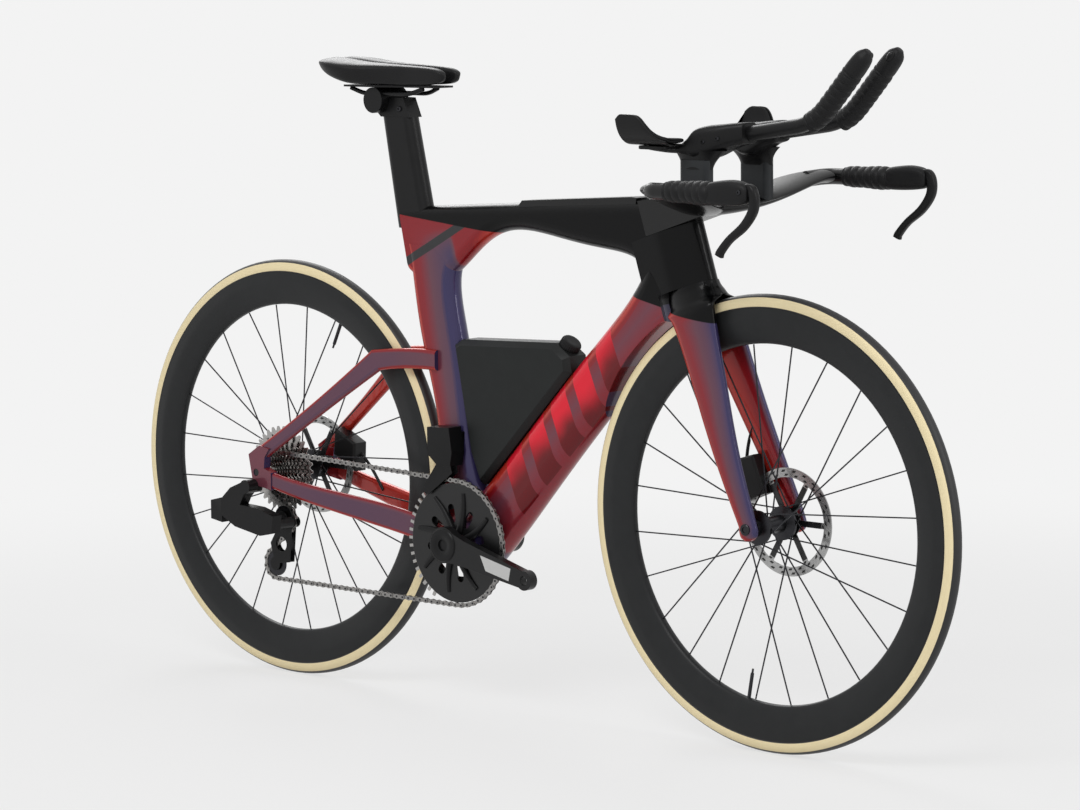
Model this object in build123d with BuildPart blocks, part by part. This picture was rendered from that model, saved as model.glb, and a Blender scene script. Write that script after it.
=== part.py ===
# A triathlon bike: carbon frame, fork, deep wheels, wing base bar and arm rests.
# The frame of the model: +X forward, +Y to the rider's left, +Z up, millimetres.
# Its origin is the rider's point on top of the saddle. Points of the side view
# are written from the rear axle, as (x forward, z up), on the plane side(y).
import os
from math import asin, atan2, cos, hypot, pi, radians, sin

from build123d import *

os.makedirs("parts", exist_ok=True)

# Driving dimensions: where the axles, bottom bracket and rider's point lie
wheelbase = 997.0
seat_back = 215.0          # rider's point, ahead of the rear axle
seat_up = 657.0            # rider's point, above the axles
bb_ahead = 406.0           # bottom bracket, ahead of the rear axle
bb_drop = 79.0             # and below it
head_angle = 72.0          # steering axis, from the horizontal
fork_rake = 44.7           # front axle, ahead of the steering axis

# Wheels
tyre_radius = 336.5
tyre_width = 27.0
rim_radius = 316.5
rim_depth = 52.5
rim_width = 27.5
spoke_count = 24
spoke_size = 2.0
rotor_radius = 80.0
rotor_thickness = 1.8
front_old = 100.0          # between the fork's dropouts
rear_old = 142.0
axle_radius = 6.0
wheel_gap = 6.5            # round the tyres, in frame and fork

# Drivetrain
link_pitch = 12.7
big_teeth = 48
small_teeth = 35
cog_teeth = 15             # the cog that the chain is on
pulley_teeth = 12
chain_y = -47.0            # chain line, to the right
cog_step = 3.65
chain_width = 5.4
chain_height = 8.0
crank_length = 172.5
crank_drop = 12.7          # degrees that the right arm points below level
pedal_bore = 14.3

# Frame and cockpit
shell_width = 86.0
shell_radius = 27.0
head_width = 50.0
top_tube_width = 44.0
seat_tube_width = 40.0
down_tube_width = 56.0
post_width = 30.0
bar_half = 203.0           # grips, from the middle plane
riser_half = 68.0
extension_half = 36.0
headset_gap = 1.0
seat_gap = 0.3             # between soft or fitted pieces and their seats

rear_x = -seat_back
axle_z = -seat_up
front_x = rear_x + wheelbase
bb_x = rear_x + bb_ahead
bb_z = axle_z - bb_drop


def at(x, y, z):
    """A point, from the rear axle, in the model's frame."""
    return Vector(rear_x + x, y, axle_z + z)


def side(y=0.0):
    """The side view's plane at y: its x is forward, its y up, extrusions go right."""
    return Plane(origin=(rear_x, y, axle_z), x_dir=(1, 0, 0), z_dir=(0, -1, 0))


def pitch_radius(teeth):
    """The pitch circle of a sprocket for this chain."""
    return link_pitch / 2 / sin(pi / teeth)


# The steering axis, in the side view
up = (-cos(radians(head_angle)), sin(radians(head_angle)))
ahead = (sin(radians(head_angle)), cos(radians(head_angle)))
axis_foot = (wheelbase - fork_rake / sin(radians(head_angle)), 0.0)


def on_axis(height, forward=0.0):
    """A side-view point: height along the steering axis, forward square to it."""
    return (axis_foot[0] + up[0] * height + ahead[0] * forward,
            axis_foot[1] + up[1] * height + ahead[1] * forward)


def steering_plane(height):
    """A plane square to the steering axis, its x pointing ahead."""
    x, z = on_axis(height)
    return Plane(origin=at(x, 0, z), x_dir=(ahead[0], 0, ahead[1]), z_dir=(up[0], 0, up[1]))


def section_plane(front, back, y=0.0):
    """The plane through two side-view points and square to the side view."""
    chord = Vector(front[0] - back[0], 0, front[1] - back[1]).normalized()
    middle = at((front[0] + back[0]) / 2, y, (front[1] + back[1]) / 2)
    return Plane(origin=middle, x_dir=chord, z_dir=chord.cross(Vector(0, 1, 0)))


def span(front, back):
    """The length between two side-view points."""
    return hypot(front[0] - back[0], front[1] - back[1])


def tube(stations):
    """A tube lofted through slots: each has two edge points, a width and a y."""
    with BuildPart() as made:
        for front, back, width, y in stations:
            with BuildSketch(section_plane(front, back, y)):
                SlotOverall(span(front, back), width)
        loft()
    return made.part


def grown(stations, gap):
    """The same stations, with a gap's more room all round."""
    made = []
    for front, back, width, y in stations:
        share = gap / span(front, back)
        dx = (front[0] - back[0]) * share
        dz = (front[1] - back[1]) * share
        made.append(((front[0] + dx, front[1] + dz), (back[0] - dx, back[1] - dz), width + 2 * gap, y))
    return made


def mirrored(shape):
    """The same shape on the bike's other side."""
    return mirror(shape, about=Plane.XZ)


def route(points, radius_share=0.45):
    """A path of straight runs joined by arcs that fit the shorter of two runs."""
    radii = []
    for before, here, after in zip(points, points[1:], points[2:]):
        one = here - before
        two = after - here
        turn = radians(one.get_angle(two))
        radii.append(radius_share * min(one.length, two.length) / (sin(turn / 2) / cos(turn / 2)))
    return FilletPolyline(*points, radius=radii)


def save(name, part):
    """Labels a finished piece and writes its STEP file."""
    part.label = name
    export_step(part, "parts/" + name + ".step")


# Wheels: tyre, rim, hub with its spokes, and rotor, for each axle
def wheel_plane(axle_x):
    """The plane of the axle and the horizontal: x is the radius, y is across."""
    return Plane(origin=(axle_x, 0, axle_z), x_dir=(1, 0, 0), z_dir=(0, 0, 1))


def make_tyre(axle_x):
    """A tyre: a round casing over the rim's flanges."""
    half = tyre_width * 0.437
    with BuildPart() as tyre:
        with BuildSketch(wheel_plane(axle_x)):
            with BuildLine():
                ThreePointArc((rim_radius, -half), (tyre_radius, 0), (rim_radius, half))
                Line((rim_radius, half), (rim_radius, -half))
            make_face()
        revolve(axis=Axis((axle_x, 0, axle_z), (0, 1, 0)))
    return tyre.part


def make_rim(axle_x):
    """A deep rim: flanges at the tyre, bulged walls and a round inner edge."""
    inner = rim_radius - rim_depth
    with BuildPart() as rim:
        with BuildSketch(wheel_plane(axle_x)):
            with BuildLine():
                Line((rim_radius, -12.3), (rim_radius, 12.3))
                Spline((rim_radius, 12.3), (rim_radius - 22, rim_width / 2), (inner + 9, 9.5), (inner, 0),
                       tangents=((-1, 0.15), (0, -1)))
                Spline((inner, 0), (inner + 9, -9.5), (rim_radius - 22, -rim_width / 2), (rim_radius, -12.3),
                       tangents=((0, -1), (1, 0.15)))
            make_face()
        revolve(axis=Axis((axle_x, 0, axle_z), (0, 1, 0)))
    return rim.part


def spoke_ends(flange_radius, flange_y, rim_y, start):
    """Both ends of one crossed spoke, in the wheel's own plane."""
    inner = rim_radius - rim_depth - 0.4
    tip = radians(start)
    foot = radians(start + 68 if int(start / (360 / spoke_count)) % 4 < 2 else start - 68)
    return (Vector(flange_radius * cos(foot), flange_y, flange_radius * sin(foot)),
            Vector(inner * cos(tip), rim_y, inner * sin(tip)))


def make_hub(axle_x, left, right, flange_left, flange_right, flange_radius):
    """A hub shell turned about the axle, with its crossed spokes."""
    centre = Vector(axle_x, 0, axle_z)
    body = 13.0
    bore = axle_radius + 0.3
    with BuildPart() as hub:
        with BuildSketch(wheel_plane(axle_x)):
            with BuildLine():
                Polyline((bore, right), (body, right), (body, flange_right - 5),
                         (flange_radius + 3, flange_right - 2), (flange_radius + 3, flange_right + 2),
                         (body, flange_right + 7), (body, flange_left - 7),
                         (flange_radius + 3, flange_left - 2), (flange_radius + 3, flange_left + 2),
                         (body, flange_left + 5), (body, left), (bore, left), close=True)
            make_face()
        revolve(axis=Axis(centre, (0, 1, 0)))
        for number in range(spoke_count):
            flange = flange_left if number % 2 else flange_right
            start = (number + 0.5) * 360 / spoke_count
            foot, tip = spoke_ends(flange_radius, flange, 1.5 if number % 2 else -1.5, start)
            run = tip - foot
            with BuildSketch(Plane(origin=centre + foot, x_dir=(0, 1, 0), z_dir=run)):
                Rectangle(spoke_size * 0.6, spoke_size)
            extrude(amount=run.length)
    return hub.part


def make_rotor(axle_x, y):
    """A brake rotor: a swept ring on a spider of six arms."""
    with BuildPart() as rotor:
        with BuildSketch(Plane(origin=(axle_x, y, axle_z), x_dir=(1, 0, 0), z_dir=(0, -1, 0))):
            Circle(rotor_radius)
            Circle(rotor_radius - 14, mode=Mode.SUBTRACT)
            with PolarLocations(0, 6):
                with Locations((40, 0)):
                    Rectangle(56, 9)
            Circle(22)
            Circle(13.6, mode=Mode.SUBTRACT)
        extrude(amount=rotor_thickness / 2, both=True)
    return rotor.part


front_rotor_y = 36.0
rear_rotor_y = 55.0
for place, axle_x, half_left, half_right, flange_left, flange_right in (
        ("front", front_x, front_old / 2 - 1, front_old / 2 - 1, 22.0, 35.0),
        ("rear", rear_x, rear_old / 2 - 1, 22.6, 36.0, 16.0)):
    save(place + "_tyre", make_tyre(axle_x))
    save(place + "_rim", make_rim(axle_x))
    save(place + "_hub", make_hub(axle_x, half_left, -half_right, flange_left, -flange_right, 22.0))
save("front_rotor", make_rotor(front_x, front_rotor_y))
save("rear_rotor", make_rotor(rear_x, rear_rotor_y))

# Heights along the steering axis of the crown's top, the stem's foot and the nose
crown_height = 353.8
stem_height = 444.0
crown_back = 36.0
turning_radius = 45.0      # the stem's round back
blade_sweep = 49.0         # what the turning fork legs need in the frame
nose_ahead = 51.0
steerer_radius = 14.3
front_axle = (wheelbase, 0.0)
tyre_clear = tyre_radius + wheel_gap

# Stations of the frame's tubes: the edges seen from the side, the width and the y
top_tube_stations = [
    ((259, 432), (281, 330), 34, 0),
    ((362, 439), (392, 352), 38, 0),
    ((470, 446), (476, 403), 42, 0),
    ((600, 454), (602, 396), top_tube_width, 0),
    ((725, 461), (728, 379), top_tube_width, 0),
    ((790, 465), (775, 345), top_tube_width, 0)]
seat_tube_stations = [
    ((392, 376), (270, 376), 36, 0),
    ((371, 320), (281, 330), 38, 0),
    ((386, 229), (300, 229), seat_tube_width, 0),
    ((400, 140), (322, 150), seat_tube_width, 0),
    ((420, 30), (338, 30), 46, 0),
    ((436, -60), (352, -70), 54, 0)]
down_tube_stations = [
    ((398, -32), (455, -112), 60, 0),
    ((439, 12), (512, -52), 58, 0),
    ((520, 96), (588, 33), down_tube_width, 0),
    ((640, 221), (706, 160), down_tube_width, 0),
    ((738, 323), (806, 262), down_tube_width, 0),
    ((768, 372), (850, 300), 50, 0)]

# The room that the stem's round back turns in, open to the front
with BuildPart() as stem_room:
    with BuildSketch(steering_plane(stem_height - headset_gap / 2)):
        Circle(turning_radius + headset_gap)
        with Locations((100, 0)):
            Rectangle(200, 2 * (turning_radius + headset_gap))
    extrude(amount=120)

# The main frame: head, top, seat and down tubes and the bottom bracket shell
with BuildPart() as main_frame:
    head_base = steering_plane(crown_height + headset_gap / 2)
    with BuildSketch(head_base):
        with BuildLine():
            Spline((-70, 22), (0, head_width / 2), (34, 17), (nose_ahead, 0),
                   tangents=((1, 0.1), (0, -1)))
            Spline((nose_ahead, 0), (34, -17), (0, -head_width / 2), (-70, -22),
                   tangents=((0, -1), (-1, 0.1)))
            Line((-70, -22), (-70, 22))
        make_face()
    extrude(amount=stem_height - crown_height - headset_gap)
    add(tube(top_tube_stations))
    add(tube(seat_tube_stations))
    add(tube(down_tube_stations))
    with BuildSketch(side()):
        with Locations((bb_ahead, -bb_drop)):
            Circle(shell_radius + 10)
    extrude(amount=shell_width / 2, both=True)
    # Room for both tyres, the turning fork and the turning stem
    with BuildSketch(side()):
        Circle(tyre_clear + 4)
        with Locations(front_axle):
            Circle(tyre_clear)
    extrude(amount=100, both=True, mode=Mode.SUBTRACT)
    with BuildSketch(steering_plane(crown_height + headset_gap / 2)):
        Circle(blade_sweep)
    extrude(amount=-90, mode=Mode.SUBTRACT)
    with BuildSketch(steering_plane(crown_height + headset_gap / 2)):
        with Locations((100, 0)):
            Rectangle(200, 200)
    extrude(amount=-90, mode=Mode.SUBTRACT)
    add(stem_room.part, mode=Mode.SUBTRACT)
    # Steerer, bottom bracket and seatpost bores
    with BuildSketch(steering_plane(crown_height)):
        Circle(steerer_radius + headset_gap)
    extrude(amount=stem_height - crown_height, mode=Mode.SUBTRACT)
    with BuildSketch(side()):
        with Locations((bb_ahead, -bb_drop)):
            Circle(shell_radius)
    extrude(amount=shell_width, both=True, mode=Mode.SUBTRACT)

print("main_frame", main_frame.part.is_valid, len(main_frame.part.solids()))

# Seatpost, its head and the saddle
post_foot_front = (323, 400)
post_foot_back = (250, 400)
post_top_front = (284, 572)
post_top_back = (219, 572)
seatpost_solid = tube([
    ((post_foot_front[0], post_foot_front[1]), (post_foot_back[0], post_foot_back[1]), post_width, 0),
    ((post_top_front[0], post_top_front[1]), (post_top_back[0], post_top_back[1]), post_width, 0)])
with BuildPart() as main_frame_bored:
    add(main_frame.part)
    add(seatpost_solid, mode=Mode.SUBTRACT)
frame_solid = main_frame_bored.part
save("main_frame", frame_solid)
save("seatpost", seatpost_solid)

rail_half = 22.0
rail_radius = 3.5
rail_z = 608.0
with BuildPart() as saddle_clamp:
    with BuildSketch(side()):
        with BuildLine():
            Polyline((post_top_back[0] + 2, 572.0), (post_top_front[0] - 1, 572.0), (270, 602), (240, 603),
                     (205, 596), (212, 580), close=True)
        make_face()
    extrude(amount=post_width / 2 - 1, both=True)
    with BuildSketch(side()):
        with Locations((219, 598)):
            Circle(20)
    extrude(amount=rail_half + 8, both=True)
    for turn in (-1, 1):
        with BuildSketch(Plane(origin=at(100, turn * rail_half, rail_z), x_dir=(0, 1, 0), z_dir=(1, 0, 0))):
            Circle(rail_radius + 0.1)
        extrude(amount=200, mode=Mode.SUBTRACT)
save("saddle_clamp", saddle_clamp.part)

# Saddle: a cushion on a thin shell that holds the rails
saddle_back_x = 112.0
saddle_nose_x = 362.0
with BuildPart() as saddle:
    with BuildSketch(Plane(origin=at(0, 0, 622), x_dir=(1, 0, 0), z_dir=(0, 0, 1))):
        with BuildLine():
            Spline((saddle_back_x + 8, 0), (saddle_back_x + 14, 45), (saddle_back_x + 45, 66),
                   (225, 47), (275, 31), (saddle_nose_x - 12, 26), (saddle_nose_x, 0),
                   tangents=((0, 1), (0, -1)))
            Spline((saddle_nose_x, 0), (saddle_nose_x - 12, -26), (275, -31), (225, -47),
                   (saddle_back_x + 45, -66), (saddle_back_x + 14, -45), (saddle_back_x + 8, 0),
                   tangents=((0, -1), (0, 1)))
        make_face()
    extrude(amount=35)
    with BuildSketch(side()):
        with BuildLine():
            Polyline((90, 664), (90, 640), (175, 622), (340, 622), (362, 640), (362, 650), (215, 657),
                     (120, 664), close=True)
        make_face()
    extrude(amount=80, both=True, mode=Mode.INTERSECT)
save("saddle", saddle.part)

with BuildPart() as saddle_base:
    with BuildSketch(Plane(origin=at(0, 0, 618.7), x_dir=(1, 0, 0), z_dir=(0, 0, 1))):
        with BuildLine():
            Spline((166, 40), (225, 38), (275, 26), (345, 20), tangents=((1, 0), (1, 0)))
            Line((345, 20), (345, -20))
            Spline((345, -20), (275, -26), (225, -38), (166, -40), tangents=((-1, 0), (-1, 0)))
            Line((166, -40), (166, 40))
        make_face()
    extrude(amount=3)
    for turn in (-1, 1):
        with BuildLine():
            route([at(172, turn * (rail_half + 8), 617), at(192, turn * rail_half, rail_z),
                   at(290, turn * rail_half, rail_z), at(316, turn * (rail_half - 6), 617)])
        with BuildSketch(Plane(origin=at(172, turn * (rail_half + 8), 617),
                               z_dir=at(192, turn * rail_half, rail_z) - at(172, turn * (rail_half + 8), 617))):
            Circle(rail_radius)
        sweep()
print("saddle_base", saddle_base.part.is_valid, len(saddle_base.part.solids()))
save("saddle_base", saddle_base.part)

# Seat stays and chain stays with the dropouts, made on the right and mirrored
stay_out = rear_old / 2 + 14
dropout_inner = rear_old / 2
with BuildPart() as right_seat_stay:
    for front, back, width, y in (
            ((345, 214), (345, 182), 14, -21), ((262, 212), (262, 180), 12, -27),
            ((214, 207), (232, 176), 12, -32)):
        with BuildSketch(section_plane(front, back, y)):
            SlotOverall(span(front, back), width)
    loft()
    for front, back, width, y in (
            ((214, 207), (232, 176), 12, -32), ((110, 121), (122, 99), 12, -56),
            ((6, 44), (16, 22), 13, -77)):
        with BuildSketch(section_plane(front, back, y)):
            SlotOverall(span(front, back), width)
    loft()
    add(frame_solid, mode=Mode.SUBTRACT)

with BuildPart() as right_chain_stay:
    for front, back, width, y in (
            ((372, -62), (372, -98), 14, -29), ((300, -42), (300, -82), 14, -35),
            ((160, -20), (160, -54), 14, -58), ((30, 2), (30, -24), 13, -77)):
        with BuildSketch(section_plane(front, back, y)):
            SlotOverall(span(front, back), width)
    loft()
    with BuildSketch(side(-dropout_inner)):
        with BuildLine():
            Polyline((-17, 28), (-9, -10), (-4, -20), (34, -26), (34, 2), (18, 8), (20, 26), (30, 40),
                     (8, 44), close=True)
        make_face()
    extrude(amount=stay_out - dropout_inner)
    with BuildSketch(side()):
        Circle(axle_radius)
    extrude(amount=100, both=True, mode=Mode.SUBTRACT)
    add(right_seat_stay.part, mode=Mode.SUBTRACT)
    add(frame_solid, mode=Mode.SUBTRACT)
    with BuildSketch(side()):
        with Locations((bb_ahead, -bb_drop)):
            Circle(shell_radius + 10)
    extrude(amount=shell_width, both=True, mode=Mode.SUBTRACT)

seat_stays = Compound([right_seat_stay.part.solids()[0], mirrored(right_seat_stay.part).solids()[0]])
chain_stays = Compound([right_chain_stay.part.solids()[0], mirrored(right_chain_stay.part).solids()[0]])
print("stays", len(right_seat_stay.part.solids()), len(right_chain_stay.part.solids()))
save("seat_stays", seat_stays)
save("chain_stays", chain_stays)

with BuildPart() as rear_axle:
    with BuildSketch(side()):
        Circle(axle_radius - 0.02)
    extrude(amount=stay_out - 1, both=True)
save("rear_axle", rear_axle.part)

# The lid of the top tube's storage and the bottle between the tubes
with BuildPart() as storage_lid:
    with BuildSketch(side()):
        with BuildLine():
            Polyline((508, 440), (748, 452), (750, 466), (740, 467), (520, 453), close=True)
        make_face()
    extrude(amount=15, both=True)
    add(frame_solid, mode=Mode.SUBTRACT)
    add(stem_room.part, mode=Mode.SUBTRACT)
save("storage_lid", storage_lid.part)

with BuildPart() as frame_bottle:
    with BuildSketch(side()):
        with BuildLine():
            Polyline((396, 234), (380, 224), (412, 60), (432, 14), (442, 12), (622, 198), (618, 222),
                     (590, 241), close=True)
        make_face()
    extrude(amount=27, both=True)
    chamfer(frame_bottle.faces().filter_by(Axis.Y).edges(), 9)
    add(tube(grown(seat_tube_stations, seat_gap)), mode=Mode.SUBTRACT)
    add(tube(grown(down_tube_stations, seat_gap)), mode=Mode.SUBTRACT)
    add(tube(grown(top_tube_stations, seat_gap)), mode=Mode.SUBTRACT)
save("frame_bottle", frame_bottle.part)

with BuildPart() as bottle_cap:
    with BuildSketch(Plane(origin=at(600, 0, 233), x_dir=(0, 1, 0), z_dir=(0.62, 0, 0.78))):
        Circle(17)
    extrude(amount=14)
    add(tube(grown(down_tube_stations, seat_gap)), mode=Mode.SUBTRACT)
    add(frame_bottle.part, mode=Mode.SUBTRACT)
print("bottle", len(frame_bottle.part.solids()), len(bottle_cap.part.solids()))
save("bottle_cap", bottle_cap.part)

# Bottom bracket with its spindle, and the cranks
spindle_radius = 14.4
with BuildPart() as bottom_bracket:
    with BuildSketch(side()):
        with Locations((bb_ahead, -bb_drop)):
            Circle(shell_radius)
    extrude(amount=shell_width / 2 - 1, both=True)
    with BuildSketch(side()):
        with Locations((bb_ahead, -bb_drop)):
            Circle(spindle_radius)
    extrude(amount=68, both=True)
save("bottom_bracket", bottom_bracket.part)


def crank_plane(y, turn):
    """The crank's plane at y: its x points along the arm."""
    angle = radians(-crank_drop + (180 if turn > 0 else 0))
    return Plane(origin=(bb_x, y, bb_z), x_dir=(cos(angle), 0, sin(angle)), z_dir=(0, -1, 0))


def make_arm(turn, inner, outer):
    """One crank arm, from y = inner to outer, with its pedal thread's hole."""
    with BuildPart() as arm:
        with BuildSketch(crank_plane(inner * turn, turn)):
            with BuildLine():
                Polyline((0, 26), (40, 20), (crank_length, 13), (crank_length, -13), (40, -20), (0, -26),
                         close=True)
            make_face()
            Circle(28)
            with Locations((crank_length, 0)):
                Circle(15)
        extrude(amount=-(outer - inner) * turn)
        with BuildSketch(crank_plane(0, turn)):
            with Locations((crank_length, 0)):
                Circle(pedal_bore / 2)
            Circle(spindle_radius)
        extrude(amount=120, both=True, mode=Mode.SUBTRACT)
    return arm.part


save("crank_arm_right", make_arm(-1, 63, 78))
save("crank_arm_left", make_arm(1, 63, 78))


def make_ring(teeth, y, thickness, inner_radius, free):
    """A chainring: teeth stand clear of the chain only where none lies on it."""
    root = pitch_radius(teeth) - 4.4
    with BuildPart() as ring:
        with BuildSketch(side(y)):
            with Locations((bb_ahead, -bb_drop)):
                Circle(root)
                for number in range(teeth):
                    if free(number * 360 / teeth):
                        with PolarLocations(root, 1, start_angle=number * 360 / teeth):
                            Rectangle(15, 4.6)
                Circle(inner_radius, mode=Mode.SUBTRACT)
        extrude(amount=thickness / 2, both=True)
    return ring.part


ring_y = chain_y
small_y = chain_y + 6.6
with BuildPart() as chainring_large:
    add(make_ring(big_teeth, ring_y, 3.0, 66, lambda turn: 115 < turn < 245))
    with BuildSketch(side(-shell_width / 2 - 2.4)):
        with Locations((bb_ahead, -bb_drop)):
            Circle(68)
            Circle(spindle_radius, mode=Mode.SUBTRACT)
            with PolarLocations(46, 8, start_angle=10):
                SlotOverall(30, 13, mode=Mode.SUBTRACT)
    extrude(amount=3.1)
save("chainring_large", chainring_large.part)

with BuildPart() as chainring_small:
    add(make_ring(small_teeth, small_y, 2.4, 53, lambda turn: True))
    with BuildSketch(side(small_y - 1.2)):
        with Locations((bb_ahead, -bb_drop)):
            with PolarLocations(60, 8):
                Circle(5)
    extrude(amount=3.8)
print("small ring", len(chainring_small.part.solids()))
save("chainring_small", chainring_small.part)

# The chain: a closed path over ring, cog and two pulleys, right side
ring_centre = (bb_ahead, -bb_drop)
upper_pulley = (24.0, -76.0)
lower_pulley = (6.0, -151.0)
loop = [(ring_centre, pitch_radius(big_teeth), 1), ((0.0, 0.0), pitch_radius(cog_teeth), 1),
        (upper_pulley, pitch_radius(pulley_teeth), -1), (lower_pulley, pitch_radius(pulley_teeth), 1)]


def leg(first, second, grow):
    """The straight run between two wheels, grown outwards, and its heading."""
    (xa, za), ra, sa = first
    (xb, zb), rb, sb = second
    heading = atan2(zb - za, xb - xa) - asin((sb * rb - sa * ra) / hypot(xb - xa, zb - za))
    nx = sin(heading)
    nz = -cos(heading)
    ra = sa * ra + grow
    rb = sb * rb + grow
    return (xa + ra * nx, za + ra * nz), (xb + rb * nx, zb + rb * nz), heading


def belt_line(wheels, grow):
    """A closed belt line about the wheels: straight legs joined by arcs."""
    legs = [leg(one, two, grow) for one, two in zip(wheels, wheels[1:] + wheels[:1])]
    for number, (start, end, heading) in enumerate(legs):
        Line(start, end)
        centre, radius, sense = wheels[(number + 1) % len(wheels)]
        leave, onward = legs[(number + 1) % len(legs)][::2]
        turn = (onward - heading) % (2 * pi)
        if sense < 0:
            turn -= 2 * pi
        middle = heading + turn / 2 - pi / 2
        reach = sense * radius + grow
        ThreePointArc(end, (centre[0] + reach * cos(middle), centre[1] + reach * sin(middle)), leave)


with BuildPart() as chain:
    with BuildSketch(side(chain_y)):
        with BuildLine():
            belt_line(loop, chain_height / 2)
        make_face()
        with BuildLine():
            belt_line(loop, -chain_height / 2)
        make_face(mode=Mode.SUBTRACT)
    extrude(amount=chain_width / 2, both=True)
print("chain", chain.part.is_valid, round(chain.part.volume))
save("chain", chain.part)

with BuildPart() as cassette:
    for number in range(12):
        teeth = (10, 11, 12, 13, 14, 15, 17, 19, 21, 24, 28, 33)[number]
        y = chain_y + (number - 5) * cog_step
        with BuildSketch(side(y)):
            Circle(pitch_radius(teeth) + (3.0 if number != 5 else -4.4))
        extrude(amount=0.9, both=True)
    with BuildSketch(side(chain_y + 6.6 * cog_step)):
        Circle(17.2)
    extrude(amount=12.4 * cog_step)
    with BuildSketch(side()):
        Circle(axle_radius + 0.3)
    extrude(amount=100, both=True, mode=Mode.SUBTRACT)
save("cassette", cassette.part)


# Rear derailleur: hanger knuckle, parallelogram and battery, then cage and pulleys
with BuildPart() as rear_derailleur:
    with BuildSketch(side(-stay_out - seat_gap)):
        with Locations((-6, -22)):
            Circle(11)
        with BuildLine():
            Polyline((-6, -12), (-40, -26), (-62, -46), (-62, -72), (-30, -88), (28, -98), (54, -92),
                     (58, -64), (20, -54), (-18, -52), (-8, -34), (4, -28), close=True)
        make_face()
    extrude(amount=20)
    with BuildSketch(side(-stay_out + 4)):
        with BuildLine():
            Polyline((-86, -50), (-62, -44), (-60, -84), (-86, -80), close=True)
        make_face()
    extrude(amount=24)
    with BuildSketch(side(-dropout_inner - 2)):
        with Locations((-6, -25)):
            Circle(8)
    extrude(amount=20)
    with BuildSketch(side(-54)):
        with Locations((46, -80)):
            Circle(9)
    extrude(amount=34)
    add(right_chain_stay.part, mode=Mode.SUBTRACT)
save("rear_derailleur", rear_derailleur.part)

with BuildPart() as derailleur_cage:
    for y in (chain_y + 6.0, chain_y - 3.4):
        with BuildSketch(side(y)):
            with BuildLine():
                Polyline((46, -80), upper_pulley, (-4, -118), lower_pulley, (40, -146), close=True)
            make_face()
            with Locations(upper_pulley, lower_pulley):
                Circle(11)
            with Locations((46, -80)):
                Circle(9)
            with Locations((21, -118)):
                Circle(12, mode=Mode.SUBTRACT)
        extrude(amount=1.6)
    with BuildSketch(side(chain_y + 6.0)):
        with Locations(upper_pulley, lower_pulley):
            Circle(3)
    extrude(amount=10.8)
save("derailleur_cage", derailleur_cage.part)

pulleys = []
for centre in (upper_pulley, lower_pulley):
    with BuildPart() as pulley:
        with BuildSketch(side(chain_y)):
            with Locations(centre):
                Circle(pitch_radius(pulley_teeth) - 4.4)
                Circle(3.2, mode=Mode.SUBTRACT)
        extrude(amount=1.5, both=True)
    pulleys.append(pulley.part.solids()[0])
save("derailleur_pulleys", Compound(pulleys))

# Front derailleur on the seat tube
with BuildPart() as front_derailleur:
    with BuildSketch(side(-26)):
        with BuildLine():
            Polyline((352, 98), (398, 100), (404, 62), (400, 40), (372, 40), (352, 56), close=True)
        make_face()
    extrude(amount=28)
    with BuildSketch(side(-18)):
        with Locations((386, 76)):
            Rectangle(24, 30)
    extrude(amount=14)
    for y in (chain_y + 7.5, chain_y - 5.0):
        with BuildSketch(side(y)):
            with BuildLine():
                Polyline((372, 44), (400, 44), (404, 30), (352, -8), (344, 6), close=True)
            make_face()
        extrude(amount=1.6)
    add(frame_solid, mode=Mode.SUBTRACT)
save("front_derailleur", front_derailleur.part)


# Brake calipers: one on the left chain stay, one behind the left fork leg
def make_caliper(axle, rotor_y, outline):
    """A flat mount caliper: a block slotted for the rotor on that axle."""
    with BuildPart() as caliper:
        with BuildSketch(side(rotor_y + 15)):
            with BuildLine():
                Polyline(*outline, close=True)
            make_face()
        extrude(amount=30)
        chamfer(caliper.faces().filter_by(Axis.Y).edges(), 3)
        with BuildSketch(side(rotor_y)):
            with Locations(axle):
                Circle(rotor_radius + 2)
        extrude(amount=1.9, both=True, mode=Mode.SUBTRACT)
    return caliper.part


rear_caliper_solid = make_caliper((0, 0), rear_rotor_y, [(48, 20), (52, 64), (98, 42), (96, -4)])
left_chain_stay = mirrored(right_chain_stay.part)
left_seat_stay = mirrored(right_seat_stay.part)
with BuildPart() as rear_caliper:
    add(rear_caliper_solid)
    add(left_chain_stay, mode=Mode.SUBTRACT)
    add(left_seat_stay, mode=Mode.SUBTRACT)
save("rear_caliper", rear_caliper.part)

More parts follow.
